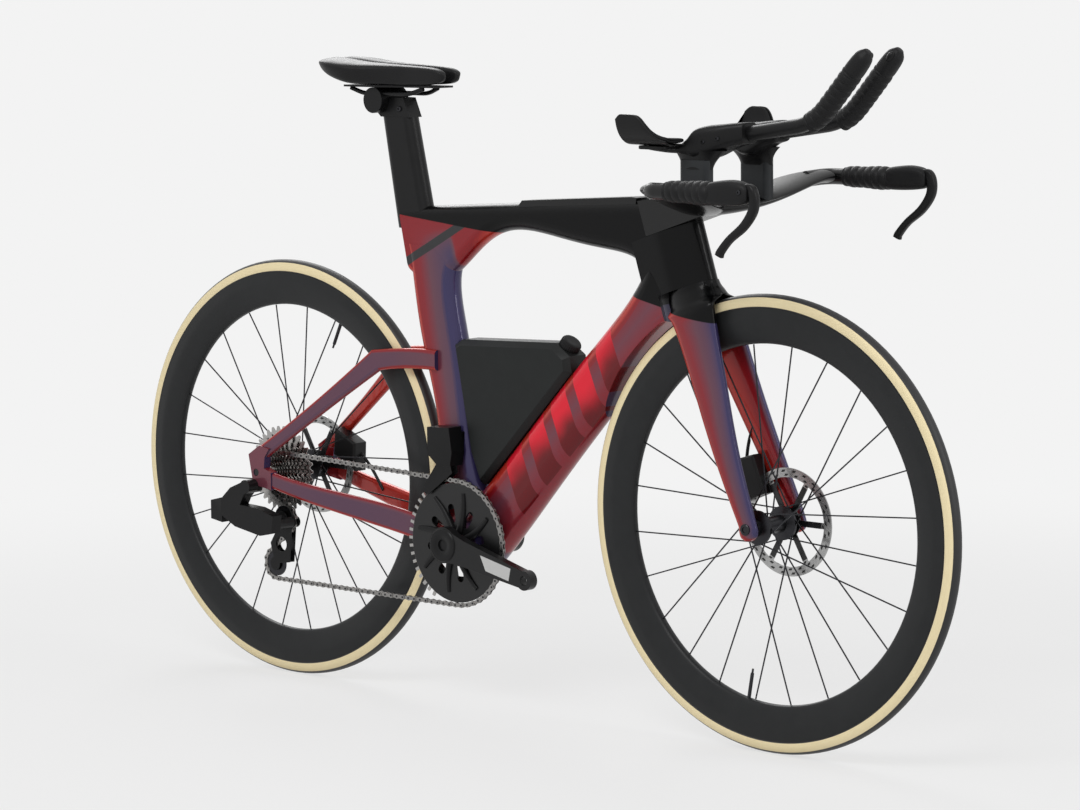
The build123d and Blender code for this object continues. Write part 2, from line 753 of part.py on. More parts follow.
# Fork: steerer, crown and two legs
leg_inner = tyre_width / 2 + wheel_gap
crown_plane = steering_plane(crown_height)
leg_tip = 17.0
with BuildPart() as right_leg:
    for front, back, width, y in (
            (on_axis(crown_height - 8, 44), on_axis(crown_height - 8, -26), 22, -30),
            ((905, 298), (838, 296), 22, -31), ((957, 150), (903, 150), 20, -45),
            ((wheelbase + leg_tip, 4), (wheelbase - leg_tip, -4), 14, -front_old / 2 - 7)):
        with BuildSketch(section_plane(front, back, y)):
            SlotOverall(span(front, back), width)
    loft()
    with BuildSketch(side(-front_old / 2)):
        with Locations(front_axle):
            Circle(leg_tip)
    extrude(amount=14)
with BuildPart() as fork:
    add(right_leg.part)
    add(mirrored(right_leg.part))
    with BuildSketch(crown_plane):
        with BuildLine():
            Spline((-crown_back, 0), (0, 38), (45, 30), (66, 0), tangents=((0, 1), (0, -1)))
            Spline((66, 0), (45, -30), (0, -38), (-crown_back, 0), tangents=((0, -1), (0, 1)))
        make_face()
    extrude(amount=-45)
    with BuildSketch(side()):
        with Locations(front_axle):
            Circle(tyre_clear)
    extrude(amount=leg_inner, both=True, mode=Mode.SUBTRACT)
    with BuildSketch(side()):
        with Locations(front_axle):
            Circle(axle_radius)
    extrude(amount=100, both=True, mode=Mode.SUBTRACT)
    with BuildSketch(crown_plane):
        Circle(steerer_radius)
    extrude(amount=stem_height - crown_height)
print("fork", fork.part.is_valid, len(fork.part.solids()))
save("fork", fork.part)

with BuildPart() as front_axle_pin:
    with BuildSketch(side()):
        with Locations(front_axle):
            Circle(axle_radius - 0.02)
    extrude(amount=front_old / 2 + 13, both=True)
save("front_axle", front_axle_pin.part)

with BuildPart() as front_caliper:
    add(make_caliper(front_axle, front_rotor_y, [(900, 84), (940, 96), (962, 40), (922, 24)]))
    add(fork.part, mode=Mode.SUBTRACT)
save("front_caliper", front_caliper.part)

# Brake hoses, from their legs to the calipers
hose_radius = 2.5


def make_hose(points, solids):
    """A hose through points, less the pieces that it enters."""
    with BuildPart() as hose:
        with BuildLine():
            route(points)
        with BuildSketch(Plane(origin=points[0], z_dir=points[1] - points[0])):
            Circle(hose_radius)
        sweep()
        for solid in solids:
            add(solid, mode=Mode.SUBTRACT)
    return hose.part.solids().sort_by(SortBy.VOLUME)[-1]


front_hose = make_hose([at(936, 38, 152), at(917, 41, 112), at(912, 41, 70)], [fork.part, front_caliper.part])
save("front_brake_hose", front_hose)
rear_hose = make_hose([at(94, 58, 26), at(122, 56, 2), at(150, 52, -30)],
                      [rear_caliper.part, left_chain_stay])
save("rear_brake_hose", rear_hose)

# Base bar: the stem over the head tube, with a wing out to both grips
bar_radius = 12.0
with BuildPart() as stem:
    with BuildSketch(side()):
        with BuildLine():
            Polyline(on_axis(stem_height, -60), on_axis(stem_height, 54), (905, 434), (905, 462),
                     (800, 468), (758, 462), close=True)
        make_face()
    extrude(amount=26, both=True)
    with BuildSketch(steering_plane(stem_height)):
        Circle(turning_radius)
        with Locations((75, 0)):
            Rectangle(150, 2 * turning_radius)
    extrude(amount=80, mode=Mode.INTERSECT)


wing_stations = ((0, 906, 814, 456, 27), (-50, 934, 846, 461, 22), (-110, 952, 864, 476, 19),
                 (-165, 958, 888, 491, 19), (-190, 962, 915, 494, 20))
with BuildPart() as right_wing:
    for y, front, back, z, thickness in wing_stations:
        with BuildSketch(side(y)):
            with Locations(((front + back) / 2, z)):
                Ellipse((front - back) / 2, thickness / 2)
    loft()
    grip_points = [at(926, -165, 491), at(936, -bar_half, 494), at(1056, -bar_half, 494)]
    with BuildLine():
        FilletPolyline(*grip_points, radius=22)
    with BuildSketch(Plane(origin=grip_points[0], z_dir=grip_points[1] - grip_points[0])):
        Circle(bar_radius)
    sweep()
with BuildPart() as base_bar:
    add(stem.part)
    add(right_wing.part)
    add(mirrored(right_wing.part))
print("base_bar", base_bar.part.is_valid, len(base_bar.part.solids()))
save("base_bar", base_bar.part)

tapes = []
levers = []
blades = []
for turn in (-1, 1):
    with BuildPart() as tape:
        with BuildSketch(Plane(origin=at(972, turn * bar_half, 494.8), x_dir=(0, 1, 0), z_dir=(1, 0, 0))):
            Circle(16)
            Circle(bar_radius + seat_gap, mode=Mode.SUBTRACT)
        extrude(amount=83)
        add(base_bar.part, mode=Mode.SUBTRACT)
    tapes.append(tape.part.solids()[0])
    with BuildPart() as lever:
        with BuildSketch(side(turn * bar_half)):
            with BuildLine():
                Polyline((1056.5, 510), (1104, 513), (1120, 500), (1122, 484), (1100, 476), (1056.5, 476),
                         close=True)
            make_face()
        extrude(amount=13, both=True)
        chamfer(lever.faces().filter_by(Axis.Y).edges(), 3)
    levers.append(lever.part.solids()[0])
    with BuildPart() as lever_blade:
        with BuildSketch(side(turn * bar_half)):
            with BuildLine():
                Polyline((1122.5, 504), (1133, 490), (1131, 462), (1114, 438), (1082, 418), (1068, 400),
                         (1060, 402), (1070, 424), (1102, 448), (1118, 468), (1122.5, 484), close=True)
            make_face()
        extrude(amount=7, both=True)
    blades.append(lever_blade.part.solids()[0])
save("bar_tapes", Compound(tapes))
save("lever_bodies", Compound(levers))
save("brake_levers", Compound(blades))

# Risers, their heads with the extensions, and the arm cups with pads
head_floor = 530.0
cup_floor = 551.6
posts = []
heads = []
extensions = []
extension_tapes = []
cups = []
for turn in (-1, 1):
    with BuildPart() as post:
        with BuildSketch(Plane(origin=at(912, turn * riser_half, 455), x_dir=(1, 0, 0), z_dir=(0, 0, 1))):
            SlotOverall(56, 19)
        extrude(amount=head_floor - 455)
        add(base_bar.part, mode=Mode.SUBTRACT)
    posts.append(post.part.solids().sort_by(Axis.Z)[-1])
    start = at(905, turn * extension_half, 557)
    points = [start, at(1010, turn * extension_half, 572), at(1085, turn * extension_half, 583),
              at(1120, turn * extension_half, 602), at(1172, turn * extension_half, 660),
              at(1204, turn * (extension_half - 2), 696)]
    with BuildPart() as extension:
        with BuildLine() as extension_path:
            route(points[:3] + points[3:5])
        with BuildSketch(Plane(origin=start, z_dir=points[1] - start)):
            Circle(11)
        sweep()
    extensions.append(extension.part.solids()[0])
    with BuildPart() as extension_tape:
        with BuildLine():
            route(points[:3] + points[3:5])
        with BuildSketch(Plane(origin=start, z_dir=points[1] - start)):
            Circle(15.5)
            Circle(11 + seat_gap, mode=Mode.SUBTRACT)
        sweep()
        split(bisect_by=Plane(origin=at(1098, 0, 590), z_dir=(1, 0, 0.5)), keep=Keep.TOP)
        run = points[4] - points[3]
        with BuildSketch(Plane(origin=points[4] + run.normalized() * seat_gap, x_dir=(0, 1, 0), z_dir=run)):
            Circle(14.5)
        extrude(amount=40)
    extension_tapes += [solid for solid in extension_tape.part.solids()]
    with BuildPart() as head:
        with BuildSketch(side(turn * (riser_half + 10))):
            with BuildLine():
                Polyline((835, 538), (835, cup_floor - seat_gap), (908, cup_floor - seat_gap), (914, 576),
                         (985, 585), (985, 553), (940, head_floor), (884, head_floor), (870, 536),
                         close=True)
            make_face()
        extrude(amount=turn * (riser_half + 10 - extension_half + 14))
        with BuildSketch(Plane(origin=at(868, turn * 98, cup_floor - seat_gap), z_dir=(0, 0, 1))):
            Rectangle(50, 46)
        extrude(amount=-5)
        add(extension.part, mode=Mode.SUBTRACT)
    heads.append(head.part.solids().sort_by(SortBy.VOLUME)[-1])
    with BuildPart() as cup:
        with BuildSketch(Plane(origin=at(825, 0, 0), x_dir=(0, turn, 0), z_dir=(turn, 0, 0))):
            with BuildLine():
                Line((66, 561), (84, cup_floor))
                Line((84, cup_floor), (122, cup_floor))
                Spline((122, cup_floor), (145, 568), (152, 597), tangents=((1, 0), (0.1, 1)))
                Line((152, 597), (149, 597))
                Spline((149, 597), (142, 570), (122, cup_floor + 3.2), tangents=((-0.1, -1), (-1, 0)))
                Line((122, cup_floor + 3.2), (85, cup_floor + 3.2))
                Line((85, cup_floor + 3.2), (67, 563.6))
                Line((67, 563.6), (66, 561))
            make_face()
        extrude(amount=turn * 82)
    cups.append(cup.part.solids()[0])
    with BuildPart() as pad:
        with BuildSketch(Plane(origin=at(828, 0, 0), x_dir=(0, turn, 0), z_dir=(turn, 0, 0))):
            with BuildLine():
                Line((85.5, cup_floor + 3.5), (122, cup_floor + 3.5))
                Spline((122, cup_floor + 3.5), (141.6, 570.2), (148.6, 595), tangents=((1, 0), (0.1, 1)))
                Line((148.6, 595), (141, 595))
                Spline((141, 595), (134.5, 575), (120, cup_floor + 12), tangents=((-0.1, -1), (-1, 0)))
                Line((120, cup_floor + 12), (85.5, cup_floor + 12))
                Line((85.5, cup_floor + 12), (85.5, cup_floor + 3.5))
            make_face()
        extrude(amount=turn * 76)
    save("arm_pad_" + ("left" if turn > 0 else "right"), pad.part)
save("riser_posts", Compound(posts))
save("extension_mounts", Compound(heads))
save("extensions", Compound(extensions))
save("extension_tapes", Compound(extension_tapes))
save("arm_cups", Compound(cups))
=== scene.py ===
# %% [markdown]
# A triathlon bike, dressed for its picture
#
# The bike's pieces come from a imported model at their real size. This script gives them their
# finishes, adds the soft and small pieces that are easier to shape as surfaces, and sets up a
# pale studio with a camera that stands where the photographer stood.

import bmesh
import bpy
import numpy as np
from mathutils import Matrix, Vector


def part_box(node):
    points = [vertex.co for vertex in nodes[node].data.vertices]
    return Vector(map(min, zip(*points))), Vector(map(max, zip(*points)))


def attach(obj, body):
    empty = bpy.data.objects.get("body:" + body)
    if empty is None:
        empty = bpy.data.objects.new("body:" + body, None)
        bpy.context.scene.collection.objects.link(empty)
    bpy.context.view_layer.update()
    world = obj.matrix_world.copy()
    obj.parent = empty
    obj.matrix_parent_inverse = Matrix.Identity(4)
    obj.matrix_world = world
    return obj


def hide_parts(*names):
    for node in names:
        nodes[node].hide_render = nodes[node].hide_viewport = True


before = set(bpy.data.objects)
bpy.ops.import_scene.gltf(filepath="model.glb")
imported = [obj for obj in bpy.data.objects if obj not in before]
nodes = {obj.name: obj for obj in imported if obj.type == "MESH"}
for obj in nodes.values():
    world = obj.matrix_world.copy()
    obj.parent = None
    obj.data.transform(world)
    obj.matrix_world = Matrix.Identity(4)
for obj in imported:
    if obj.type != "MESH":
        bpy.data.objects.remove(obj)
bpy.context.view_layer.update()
print("pieces from the frame:", len(nodes))

# %% [markdown]
# Where the bike stands
#
# The frame's origin is the rider's point on the saddle. Most places on a bike are easier to say
# from its rear axle, so the axles are worked out once, from the boxes of the two tyres. The floor
# is the lowest point of the tyres, and BRACKET is the middle of the cranks, ahead of and above the
# rear axle in millimetres.

# %% Axles, floor and the camera


def middle(node):
    """The middle of a node's box, as an array."""
    low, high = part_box(node)
    return (np.array(low) + np.array(high)) / 2


rear_axle = middle("rear_tyre")
front_axle = middle("front_tyre")
rear_axle[1] = front_axle[1] = 0.0
floor_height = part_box("rear_tyre")[0].z
WHEELBASE = float(front_axle[0] - rear_axle[0]) * 1000
BRACKET = (406.0, -79.0)
print("wheelbase", round(WHEELBASE, 1), "mm, floor at", round(floor_height, 4), "m")

SENSOR = 36.0
IMAGE_WIDTH = 1080
FOCAL_PIXELS = 4037.5
CAMERA_PLACE = Vector((4.4504, -4.5020, 0.2154))
AZIMUTH, ELEVATION, ROLL = np.radians([42.50, 6.83, -0.474])
FAR_CLIP = 60


def camera_axes(azimuth, elevation, roll):
    """Right, up and back directions of a camera that looks level at the object, then tips and rolls."""
    back = np.array([np.sin(azimuth) * np.cos(elevation), -np.cos(azimuth) * np.cos(elevation),
                     np.sin(elevation)])
    right = np.cross(-back, [0, 0, 1])
    right /= np.linalg.norm(right)
    up = np.cross(right, -back)
    rolled_right = np.cos(roll) * right + np.sin(roll) * up
    rolled_up = -np.sin(roll) * right + np.cos(roll) * up
    return rolled_right, rolled_up, back


lens = bpy.data.cameras.new("studio_camera")
lens.sensor_width = SENSOR
lens.lens = FOCAL_PIXELS / IMAGE_WIDTH * SENSOR
lens.clip_end = FAR_CLIP
camera = bpy.data.objects.new("studio_camera", lens)
bpy.context.scene.collection.objects.link(camera)
turn = Matrix(camera_axes(AZIMUTH, ELEVATION, ROLL)).transposed().to_4x4()
camera.matrix_world = Matrix.Translation(CAMERA_PLACE) @ turn
bpy.context.scene.camera = camera
bpy.context.scene.view_settings.view_transform = "Standard"
print("a lens of", round(lens.lens, 2), "mm")

# %% [markdown]
# Writing a finish as an expression
#
# A finish on a real bike is paint thickness, grain and wear, and each is a sum of simple patterns.
# Nodes can say that, but long chains of Math nodes are hard to read. The small class below wraps
# one output socket, so that a pattern is written as ordinary arithmetic and each operation adds
# its own node.

# %% A socket with arithmetic


class Value:
    """A number that changes over a surface. Arithmetic on it adds Math nodes to its finish."""

    def __init__(self, finish, socket):
        self.finish = finish
        self.socket = socket

    def math(self, operation, *others):
        return self.finish.node("ShaderNodeMath", {"operation": operation}, self, *others)

    def __rsub__(self, other):
        return self.finish.node("ShaderNodeMath", {"operation": "SUBTRACT"}, other, self)

    def ramp(self, start, end):
        """Nought before start and one after end, with a smooth rise between."""
        return self.finish.node("ShaderNodeMapRange", {"interpolation_type": "SMOOTHSTEP"}, self, start, end)

    def edge(self, half=0.0008):
        """A step up at nought, softened by a distance either way."""
        return self.ramp(-half, half)


OPERATIONS = {"__add__": "ADD", "__radd__": "ADD", "__sub__": "SUBTRACT", "__mul__": "MULTIPLY",
              "__truediv__": "DIVIDE", "__lt__": "LESS_THAN", "least": "MINIMUM", "most": "MAXIMUM",
              "size": "ABSOLUTE", "wave": "SINE", "root": "SQRT", "fraction": "FRACT"}


def math_method(operation):
    """A method that adds the Math node for one operation."""
    return lambda value, *others: value.math(operation, *others)


for method, operation in OPERATIONS.items():
    setattr(Value, method, math_method(operation))
print("a value knows", ", ".join(OPERATIONS))


# %% A finish


class Finish:
    """A material made round one Principled shader. Constants go straight on its sockets."""

    def __init__(self, name, colour, rough, **sockets):
        self.material = bpy.data.materials.new(name)
        self.material.use_nodes = True
        self.tree = self.material.node_tree
        self.shader = self.tree.nodes["Principled BSDF"]
        self.set("Base Color", colour)
        self.set("Roughness", rough)
        for socket, value in sockets.items():
            self.set(socket.replace("_", " "), value)
        coordinates = self.tree.nodes.new("ShaderNodeTexCoord")
        self.place = Value(self, coordinates.outputs["Object"])
        self.facing = Value(self, coordinates.outputs["Normal"])

    def node(self, kind, settings=None, *inputs, **named):
        """Adds a node, sets its settings first and then its sockets, and returns its first output."""
        node = self.tree.nodes.new(kind)
        for setting, value in (settings or {}).items():
            setattr(node, setting, value)
        for socket, value in [*zip(node.inputs, inputs), *((node.inputs[n], v) for n, v in named.items())]:
            self.join(value, socket)
        return Value(self, node.outputs[0])

    def join(self, value, socket):
        """Links a value to a socket, or sets a number or colour on it."""
        if isinstance(value, Value):
            self.tree.links.new(value.socket, socket)
        elif isinstance(value, tuple) and len(value) == 3 and len(socket.default_value) == 4:
            socket.default_value = (*value, 1.0)
        else:
            socket.default_value = value

    def set(self, socket, value):
        self.join(value, self.shader.inputs[socket])

    def axes(self, vector):
        """The three numbers of a vector."""
        node = self.tree.nodes.new("ShaderNodeSeparateXYZ")
        self.join(vector, node.inputs[0])
        return [Value(self, output) for output in node.outputs]

    def noise(self, scale, detail, stretch=None):
        """Noise from nought to one, with cells about 1/scale metres wide."""
        vector = self.place
        if stretch:
            vector = self.node("ShaderNodeMapping", None, vector, Scale=stretch)
        return self.node("ShaderNodeTexNoise", None, Vector=vector, Scale=scale, Detail=detail)

    def blend(self, factor, first, second):
        """The first colour where factor is nought and the second where it is one.

        A colour mix has its factor at socket 0, its colours at 6 and 7, and its result at output 2.
        """
        node = self.tree.nodes.new("ShaderNodeMix")
        node.data_type = "RGBA"
        self.join(factor, node.inputs[0])
        self.join(first, node.inputs[6])
        self.join(second, node.inputs[7])
        return Value(self, node.outputs[2])

    def shades(self, value, *stops):
        """A colour ramp: each stop is a place from nought to one and a colour."""
        node = self.tree.nodes.new("ShaderNodeValToRGB")
        for number, (place, colour) in enumerate(stops):
            step = node.color_ramp.elements[number] if number < 2 else node.color_ramp.elements.new(place)
            step.position = place
            step.color = (*colour, 1.0)
        self.join(value, node.inputs[0])
        return Value(self, node.outputs[0])

    def raise_by(self, height, distance, strength):
        """Lets a pattern stand out of the surface by a distance in metres."""
        bump = self.tree.nodes.new("ShaderNodeBump")
        bump.inputs["Strength"].default_value = strength
        bump.inputs["Distance"].default_value = distance
        self.join(height, bump.inputs["Height"])
        self.set("Normal", Value(self, bump.outputs[0]))


print("sockets of a finish:", ", ".join(("Base Color", "Roughness", "Metallic", "Coat Weight", "Normal")))

# %% Putting a finish on and picking a colour


def wear(names, finish):
    """Gives a finish to the named CAD pieces."""
    for name in names:
        nodes[name].data.materials.clear()
        nodes[name].data.materials.append(finish.material)
    print(finish.material.name, "on", ", ".join(names))


def linear(red, green, blue):
    """A colour picked as it looks on a screen, 0 to 255, as the light values that a shader needs."""
    looks = np.array([red, green, blue]) / 255
    light = np.where(looks <= 0.04045, looks / 12.92, ((looks + 0.055) / 1.055) ** 2.4)
    return tuple(float(v) for v in light)


print("a mid grey of 128 is", round(linear(128, 128, 128)[0], 3), "in light")

# %% [markdown]
# Colour-shift paint
#
# The frame's paint turns from navy through mauve to red as a surface turns away from the viewer,
# because its flakes reflect different colours at different angles. A finish that read the camera
# would slide when the view changes, so the paint here reads which way the surface itself faces:
# navy on leading edges, mauve on the flanks, red on trailing edges and orange underneath.

# %% The colour-shift paint

NAVY = linear(58, 52, 92)
PLUM = linear(84, 62, 88)
MAUVE = linear(106, 66, 80)
WINE = linear(138, 34, 44)
RED = linear(140, 14, 22)
ORANGE = linear(184, 44, 32)


def rear_place(finish):
    """Forward, sideways and upward distances from the rear axle, as values."""
    x, y, z = finish.axes(finish.place)
    return x - float(rear_axle[0]), y, z - float(rear_axle[2])


def shift_colour(finish, start=0.52):
    """Orange, red, mauve or navy by which way the surface faces.

    amount = start + forward part - 0.5 * upward part - downward part - 0.3 on inner faces
    """
    ahead, side, rise = finish.axes(finish.facing)
    inner = (finish.axes(finish.place)[1] * side * -1.0).ramp(0.002, 0.012)
    amount = ahead + start - rise.most(0.0) * 0.5 - (rise * -1.0).most(0.0) - inner * 0.3
    amount = amount + (finish.noise(1100, 3.0) - 0.5) * 0.06
    return finish.shades(amount, (0.0, ORANGE), (1.0, NAVY), (0.2, RED), (0.4, WINE), (0.56, MAUVE),
                         (0.78, PLUM))


BLACK = linear(3, 3, 4)
COAT, BLACK_COAT = 0.45, 0.12


def make_paint(name, colour_of, metal=0.3, specular=0.15, coat=COAT):
    """Clear-coated paint with fine flakes that tip the surface a little."""
    finish = Finish(name, (0.2, 0.05, 0.06), 0.34, Metallic=metal, Coat_Weight=coat, Coat_Roughness=0.05,
                    Specular_IOR_Level=specular)
    finish.set("Base Color", colour_of(finish))
    finish.set("Roughness", finish.noise(1400, 2.0) * 0.12 + 0.24)
    finish.raise_by(finish.noise(30, 3.0), 0.0006, 0.1)
    return finish


paint_stays = make_paint("colour_shift_stays", shift_colour)
wear(["seat_stays", "chain_stays"], paint_stays)

# %% The frame's and the fork's borders
TUBE_SLOPE = np.radians(46.5)
TUBE_FOOT = (0.475, -0.020)
TUBE_HALF = 0.040
BAR_START, BAR_STEP, BAR_COUNT, BAR_LEAN = 0.040, 0.066, 5.0, 0.45


def tube_bars(finish, ahead, rise):
    """Five slanted bars along the down tube, plain stand-ins for what a maker would print there, with painted
    light on them: glow is a painted highlight that grows towards the tube's upper edge.

    Along and across are measured from the tube's lower end, turned by its slope of 46.5 degrees.
    """
    cos, sin = float(np.cos(TUBE_SLOPE)), float(np.sin(TUBE_SLOPE))
    ahead, rise = ahead - TUBE_FOOT[0], rise - TUBE_FOOT[1]
    along, across = ahead * cos + rise * sin, rise * cos - ahead * sin
    step = (along - across * BAR_LEAN - BAR_START) / BAR_STEP
    part = step.fraction()
    solid = part.ramp(0.10, 0.105) * (1 - part.ramp(0.76, 0.765))
    ends = step.ramp(0.0, 0.01) * (1 - step.ramp(BAR_COUNT, BAR_COUNT + 0.01))
    inside = (TUBE_HALF - across.size()).edge(0.0003)
    # glow is painted light: nought at the tube's lower edge and one at its upper edge, where light from above
    # falls, broken up by large blotches of noise
    glow = (across / 0.06 + 0.5 + (finish.noise(9, 2.0) - 0.5) * 1.6).ramp(0.1, 0.9)
    return solid * ends * inside, glow, across


def frame_colours(finish):
    """The main frame: black over the top tube and head, shifting paint below, a grey band at the seat.

    On the seat tube the shift also follows the distance ahead of its middle, and on the down tube the
    distance across. Every border is a sloping line: the height less the line's height there.
    """
    ahead, _, rise = rear_place(finish)
    seat_line = (ahead - (0.326 + (0.320 - rise) * 0.195)) / 0.045
    in_seat_tube = (1 - seat_line.ramp(1.2, 1.6)) * (1 - rise.ramp(0.36, 0.42))
    bars, glow, across = tube_bars(finish, ahead, rise)
    paint = shift_colour(finish, 0.52 + seat_line.most(-1.0) * in_seat_tube * 0.34
                         - (across / 0.048).size().least(1.0) * (1 - in_seat_tube) * 0.2)
    # The bars run from dark red at the tube's lower edge to bright red at its upper edge: painted shade below
    # and a painted highlight above.
    paint = finish.blend(bars, paint, finish.blend(glow, linear(104, 2, 12), linear(232, 22, 48)))
    cluster = (rise - (0.4461 - ahead * 0.0966)).edge()
    head = (rise - (0.323 - (ahead - 0.739) * 0.221)).edge()
    is_front = ahead.ramp(0.60, 0.62)
    black = cluster * (1 - is_front) + head * is_front
    band_line = rise - (0.3485 + (ahead - 0.277) * 0.52)
    band = (0.0075 - band_line.size()).edge(0.0006) * (ahead < 0.415)
    finish.set("Coat Weight", COAT - black * (COAT - BLACK_COAT))
    return finish.blend(black, finish.blend(band, paint, linear(46, 46, 48)), BLACK)


def fork_colours(finish):
    """The fork: a black crown over shifting legs."""
    ahead, _, rise = rear_place(finish)
    crown = (rise - (0.301 - (ahead - 0.83) * 0.12)).edge()
    finish.set("Coat Weight", COAT - crown * (COAT - BLACK_COAT))
    return finish.blend(crown, shift_colour(finish), BLACK)


paint_fork = make_paint("colour_shift_fork", fork_colours)
gloss_black = make_paint("gloss_black", lambda finish: BLACK, metal=0.0, specular=0.3, coat=0.15)
wear(["main_frame"], make_paint("colour_shift_frame", frame_colours))
wear(["storage_lid", "base_bar"], gloss_black)

# %% [markdown]
# Satin carbon, anodised alloy and steel
#
# Bare moulded carbon under a satin lacquer is nearly black with a slow cloudiness from the fibres.
# Anodised alloy is darker than steel and has fine turning marks.

# %% The plain hard finishes


def make_satin(name, colour, rough):
    """Satin moulding: a dark colour with a faint cloud and a pebbled skin."""
    finish = Finish(name, colour, rough, Specular_IOR_Level=0.2)
    cloud = finish.noise(45, 4.0)
    finish.set("Base Color", finish.blend(cloud, colour, tuple(c * 1.35 + 0.0015 for c in colour)))
    finish.set("Roughness", cloud * 0.14 + (rough - 0.07))
    finish.raise_by(finish.noise(2600, 2.0), 0.00012, 0.35)
    return finish


def make_metal(name, colour, rough):
    """Metal with fine marks and a slight change of shine."""
    finish = Finish(name, colour, rough, Metallic=1.0)
    marks = finish.noise(900, 2.0, stretch=(1.0, 0.2, 1.0))
    finish.set("Roughness", marks * 0.18 + (rough - 0.09))
    finish.set("Base Color", finish.blend(marks, tuple(c * 0.8 for c in colour), colour))
    return finish


satin_carbon = make_satin("satin_carbon", linear(16, 16, 17), 0.36)
matte_black = make_satin("matte_black", linear(18, 18, 19), 0.5)
bottle_skin = make_satin("bottle_moulding", linear(27, 29, 29), 0.42)
cover_skin = make_satin("saddle_cover", linear(20, 20, 21), 0.38)
foam_skin = make_satin("pad_foam", linear(17, 17, 18), 0.7)
dark_alloy = make_metal("dark_alloy", linear(60, 60, 63), 0.32)
bright_steel = make_metal("bright_steel", linear(176, 174, 172), 0.28)
chain_steel = make_metal("chain_steel", linear(150, 148, 146), 0.3)

wear(["seatpost", "saddle_clamp", "saddle_base", "extensions"], satin_carbon)
wear(["riser_posts"], make_satin("grey_posts", linear(42, 44, 46), 0.4))
wear(["front_brake_hose", "rear_brake_hose"], make_satin("hose_jacket", linear(18, 18, 19), 0.38))
wear(["front_axle", "rear_axle", "bottom_bracket", "derailleur_pulleys", "front_hub", "rear_hub"], dark_alloy)

# %% [markdown]
# Tyres and rims
#
# A classic race tyre has a black tread glued over a natural cotton casing, so its side wall is
# cream. The split is a circle round the axle, and a circle is easy to say: the distance from the
# axle in the wheel's own plane.

# %% Tyre and rim finishes


def round_axle(finish, axle):
    """Forward and upward distances from an axle, and the straight distance in the wheel's plane."""
    x, _, z = finish.axes(finish.place)
    ahead, rise = x - float(axle[0]), z - float(axle[2])
    return ahead, rise, (ahead * ahead + rise * rise).root()


SIDE_WALL_LOW, SIDE_WALL_HIGH = 0.3185, 0.3318


def make_tyre_finish(name, axle):
    """Black tread and bead line with a cream cotton side wall between."""
    finish = Finish(name, linear(26, 26, 27), 0.6)
    radius = round_axle(finish, axle)[2]
    wall = (radius - SIDE_WALL_LOW).edge(0.0002) * (1 - (radius - SIDE_WALL_HIGH).edge(0.0002))
    cream = finish.blend(finish.noise(700, 2.0), linear(246, 226, 176), linear(254, 240, 200))
    rubber = finish.blend(finish.noise(300, 3.0), linear(24, 24, 25), linear(38, 38, 40))
    finish.set("Base Color", finish.blend(wall, rubber, cream))
    finish.set("Roughness", wall * 0.15 + 0.5)
    finish.raise_by(finish.noise(1800, 2.0), 0.0001, 0.4)
    return finish


for end, axle in (("rear", rear_axle), ("front", front_axle)):
    wear([end + "_tyre"], make_tyre_finish(end + "_tyre_rubber", axle))
wear(["front_rim", "rear_rim"], make_satin("rim_satin", linear(33, 34, 35), 0.38))

# %% [markdown]
# Surfaces from arrays
#
# Moulded pieces are easiest to say as rings: a closed outline that changes as it travels along the
# piece. The rings are worked out together as one array, rows by columns by three, and the faces
# are the squares between neighbouring corners. Millimetres from the rear axle are used throughout,
# because that is how a frame builder measures a bike.

# %% Rings to a closed piece


def through(points, amount):
    """A smooth line through points, amount from nought to one along it.

    Between two points it is the cubic that leaves and arrives with the slope of the neighbours' chord:
    p = (2t3-3t2+1) p0 + (t3-2t2+t) m0 + (3t2-2t3) p1 + (t3-t2) m1.
    """
    points = np.array(points, float)
    slopes = np.gradient(points, axis=0)
    place = np.clip(amount, 0, 1) * (len(points) - 1)
    first = np.minimum(place.astype(int), len(points) - 2)
    t = (place - first)[:, None]
    return ((2 * t**3 - 3 * t**2 + 1) * points[first] + (t**3 - 2 * t**2 + t) * slopes[first]
            + (3 * t**2 - 2 * t**3) * points[first + 1] + (t**3 - t**2) * slopes[first + 1])


def full_turn(columns):
    """Even angles once round, without the last that would repeat the first."""
    return np.linspace(0, 2 * np.pi, columns, endpoint=False)


def travelled(path):
    """Distance along a path at each of its points."""
    return np.concatenate([[0], np.cumsum(np.linalg.norm(np.diff(path, axis=0), axis=1))])


def columns_of(stations, rows):
    """Each number of the stations as a column that runs smoothly from the first station to the last."""
    return [column[:, None] for column in through(stations, np.linspace(0, 1, rows)).T]


def quads_between(rows, columns, wrap_rows=False):
    """Corner numbers of the squares on a grid whose columns close on themselves."""
    i, j = np.meshgrid(np.arange(rows if wrap_rows else rows - 1), np.arange(columns), indexing="ij")
    below, beside = (i + 1) % rows, (j + 1) % columns
    return np.stack([i * columns + j, below * columns + j, below * columns + beside, i * columns + beside],
                    axis=-1).reshape(-1, 4)


def outward(points, quads, fans):
    """Turns all faces round if the volume that they enclose comes out negative."""
    corners = [quads[:, [0, 1, 2]], quads[:, [0, 2, 3]], fans]
    triangles = points[np.concatenate(corners)]
    volume = np.einsum("ij,ij->i", triangles[:, 0], np.cross(triangles[:, 1], triangles[:, 2])).sum()
    return (quads, fans) if volume > 0 else (quads[:, ::-1], fans[:, ::-1])


def closed(rings):
    """A solid skin over rings (rows, columns, 3): squares between rings, a fan of triangles over each end."""
    rows, columns, _ = rings.shape
    points = np.concatenate([rings.reshape(-1, 3), rings[:1].mean(axis=1), rings[-1:].mean(axis=1)])
    here = np.arange(columns)
    after = (here + 1) % columns
    last = (rows - 1) * columns
    start = np.stack([np.full(columns, rows * columns), here, after], axis=1)
    end = np.stack([np.full(columns, rows * columns + 1), last + after, last + here], axis=1)
    return points, *outward(points, quads_between(rows, columns), np.concatenate([start, end]))


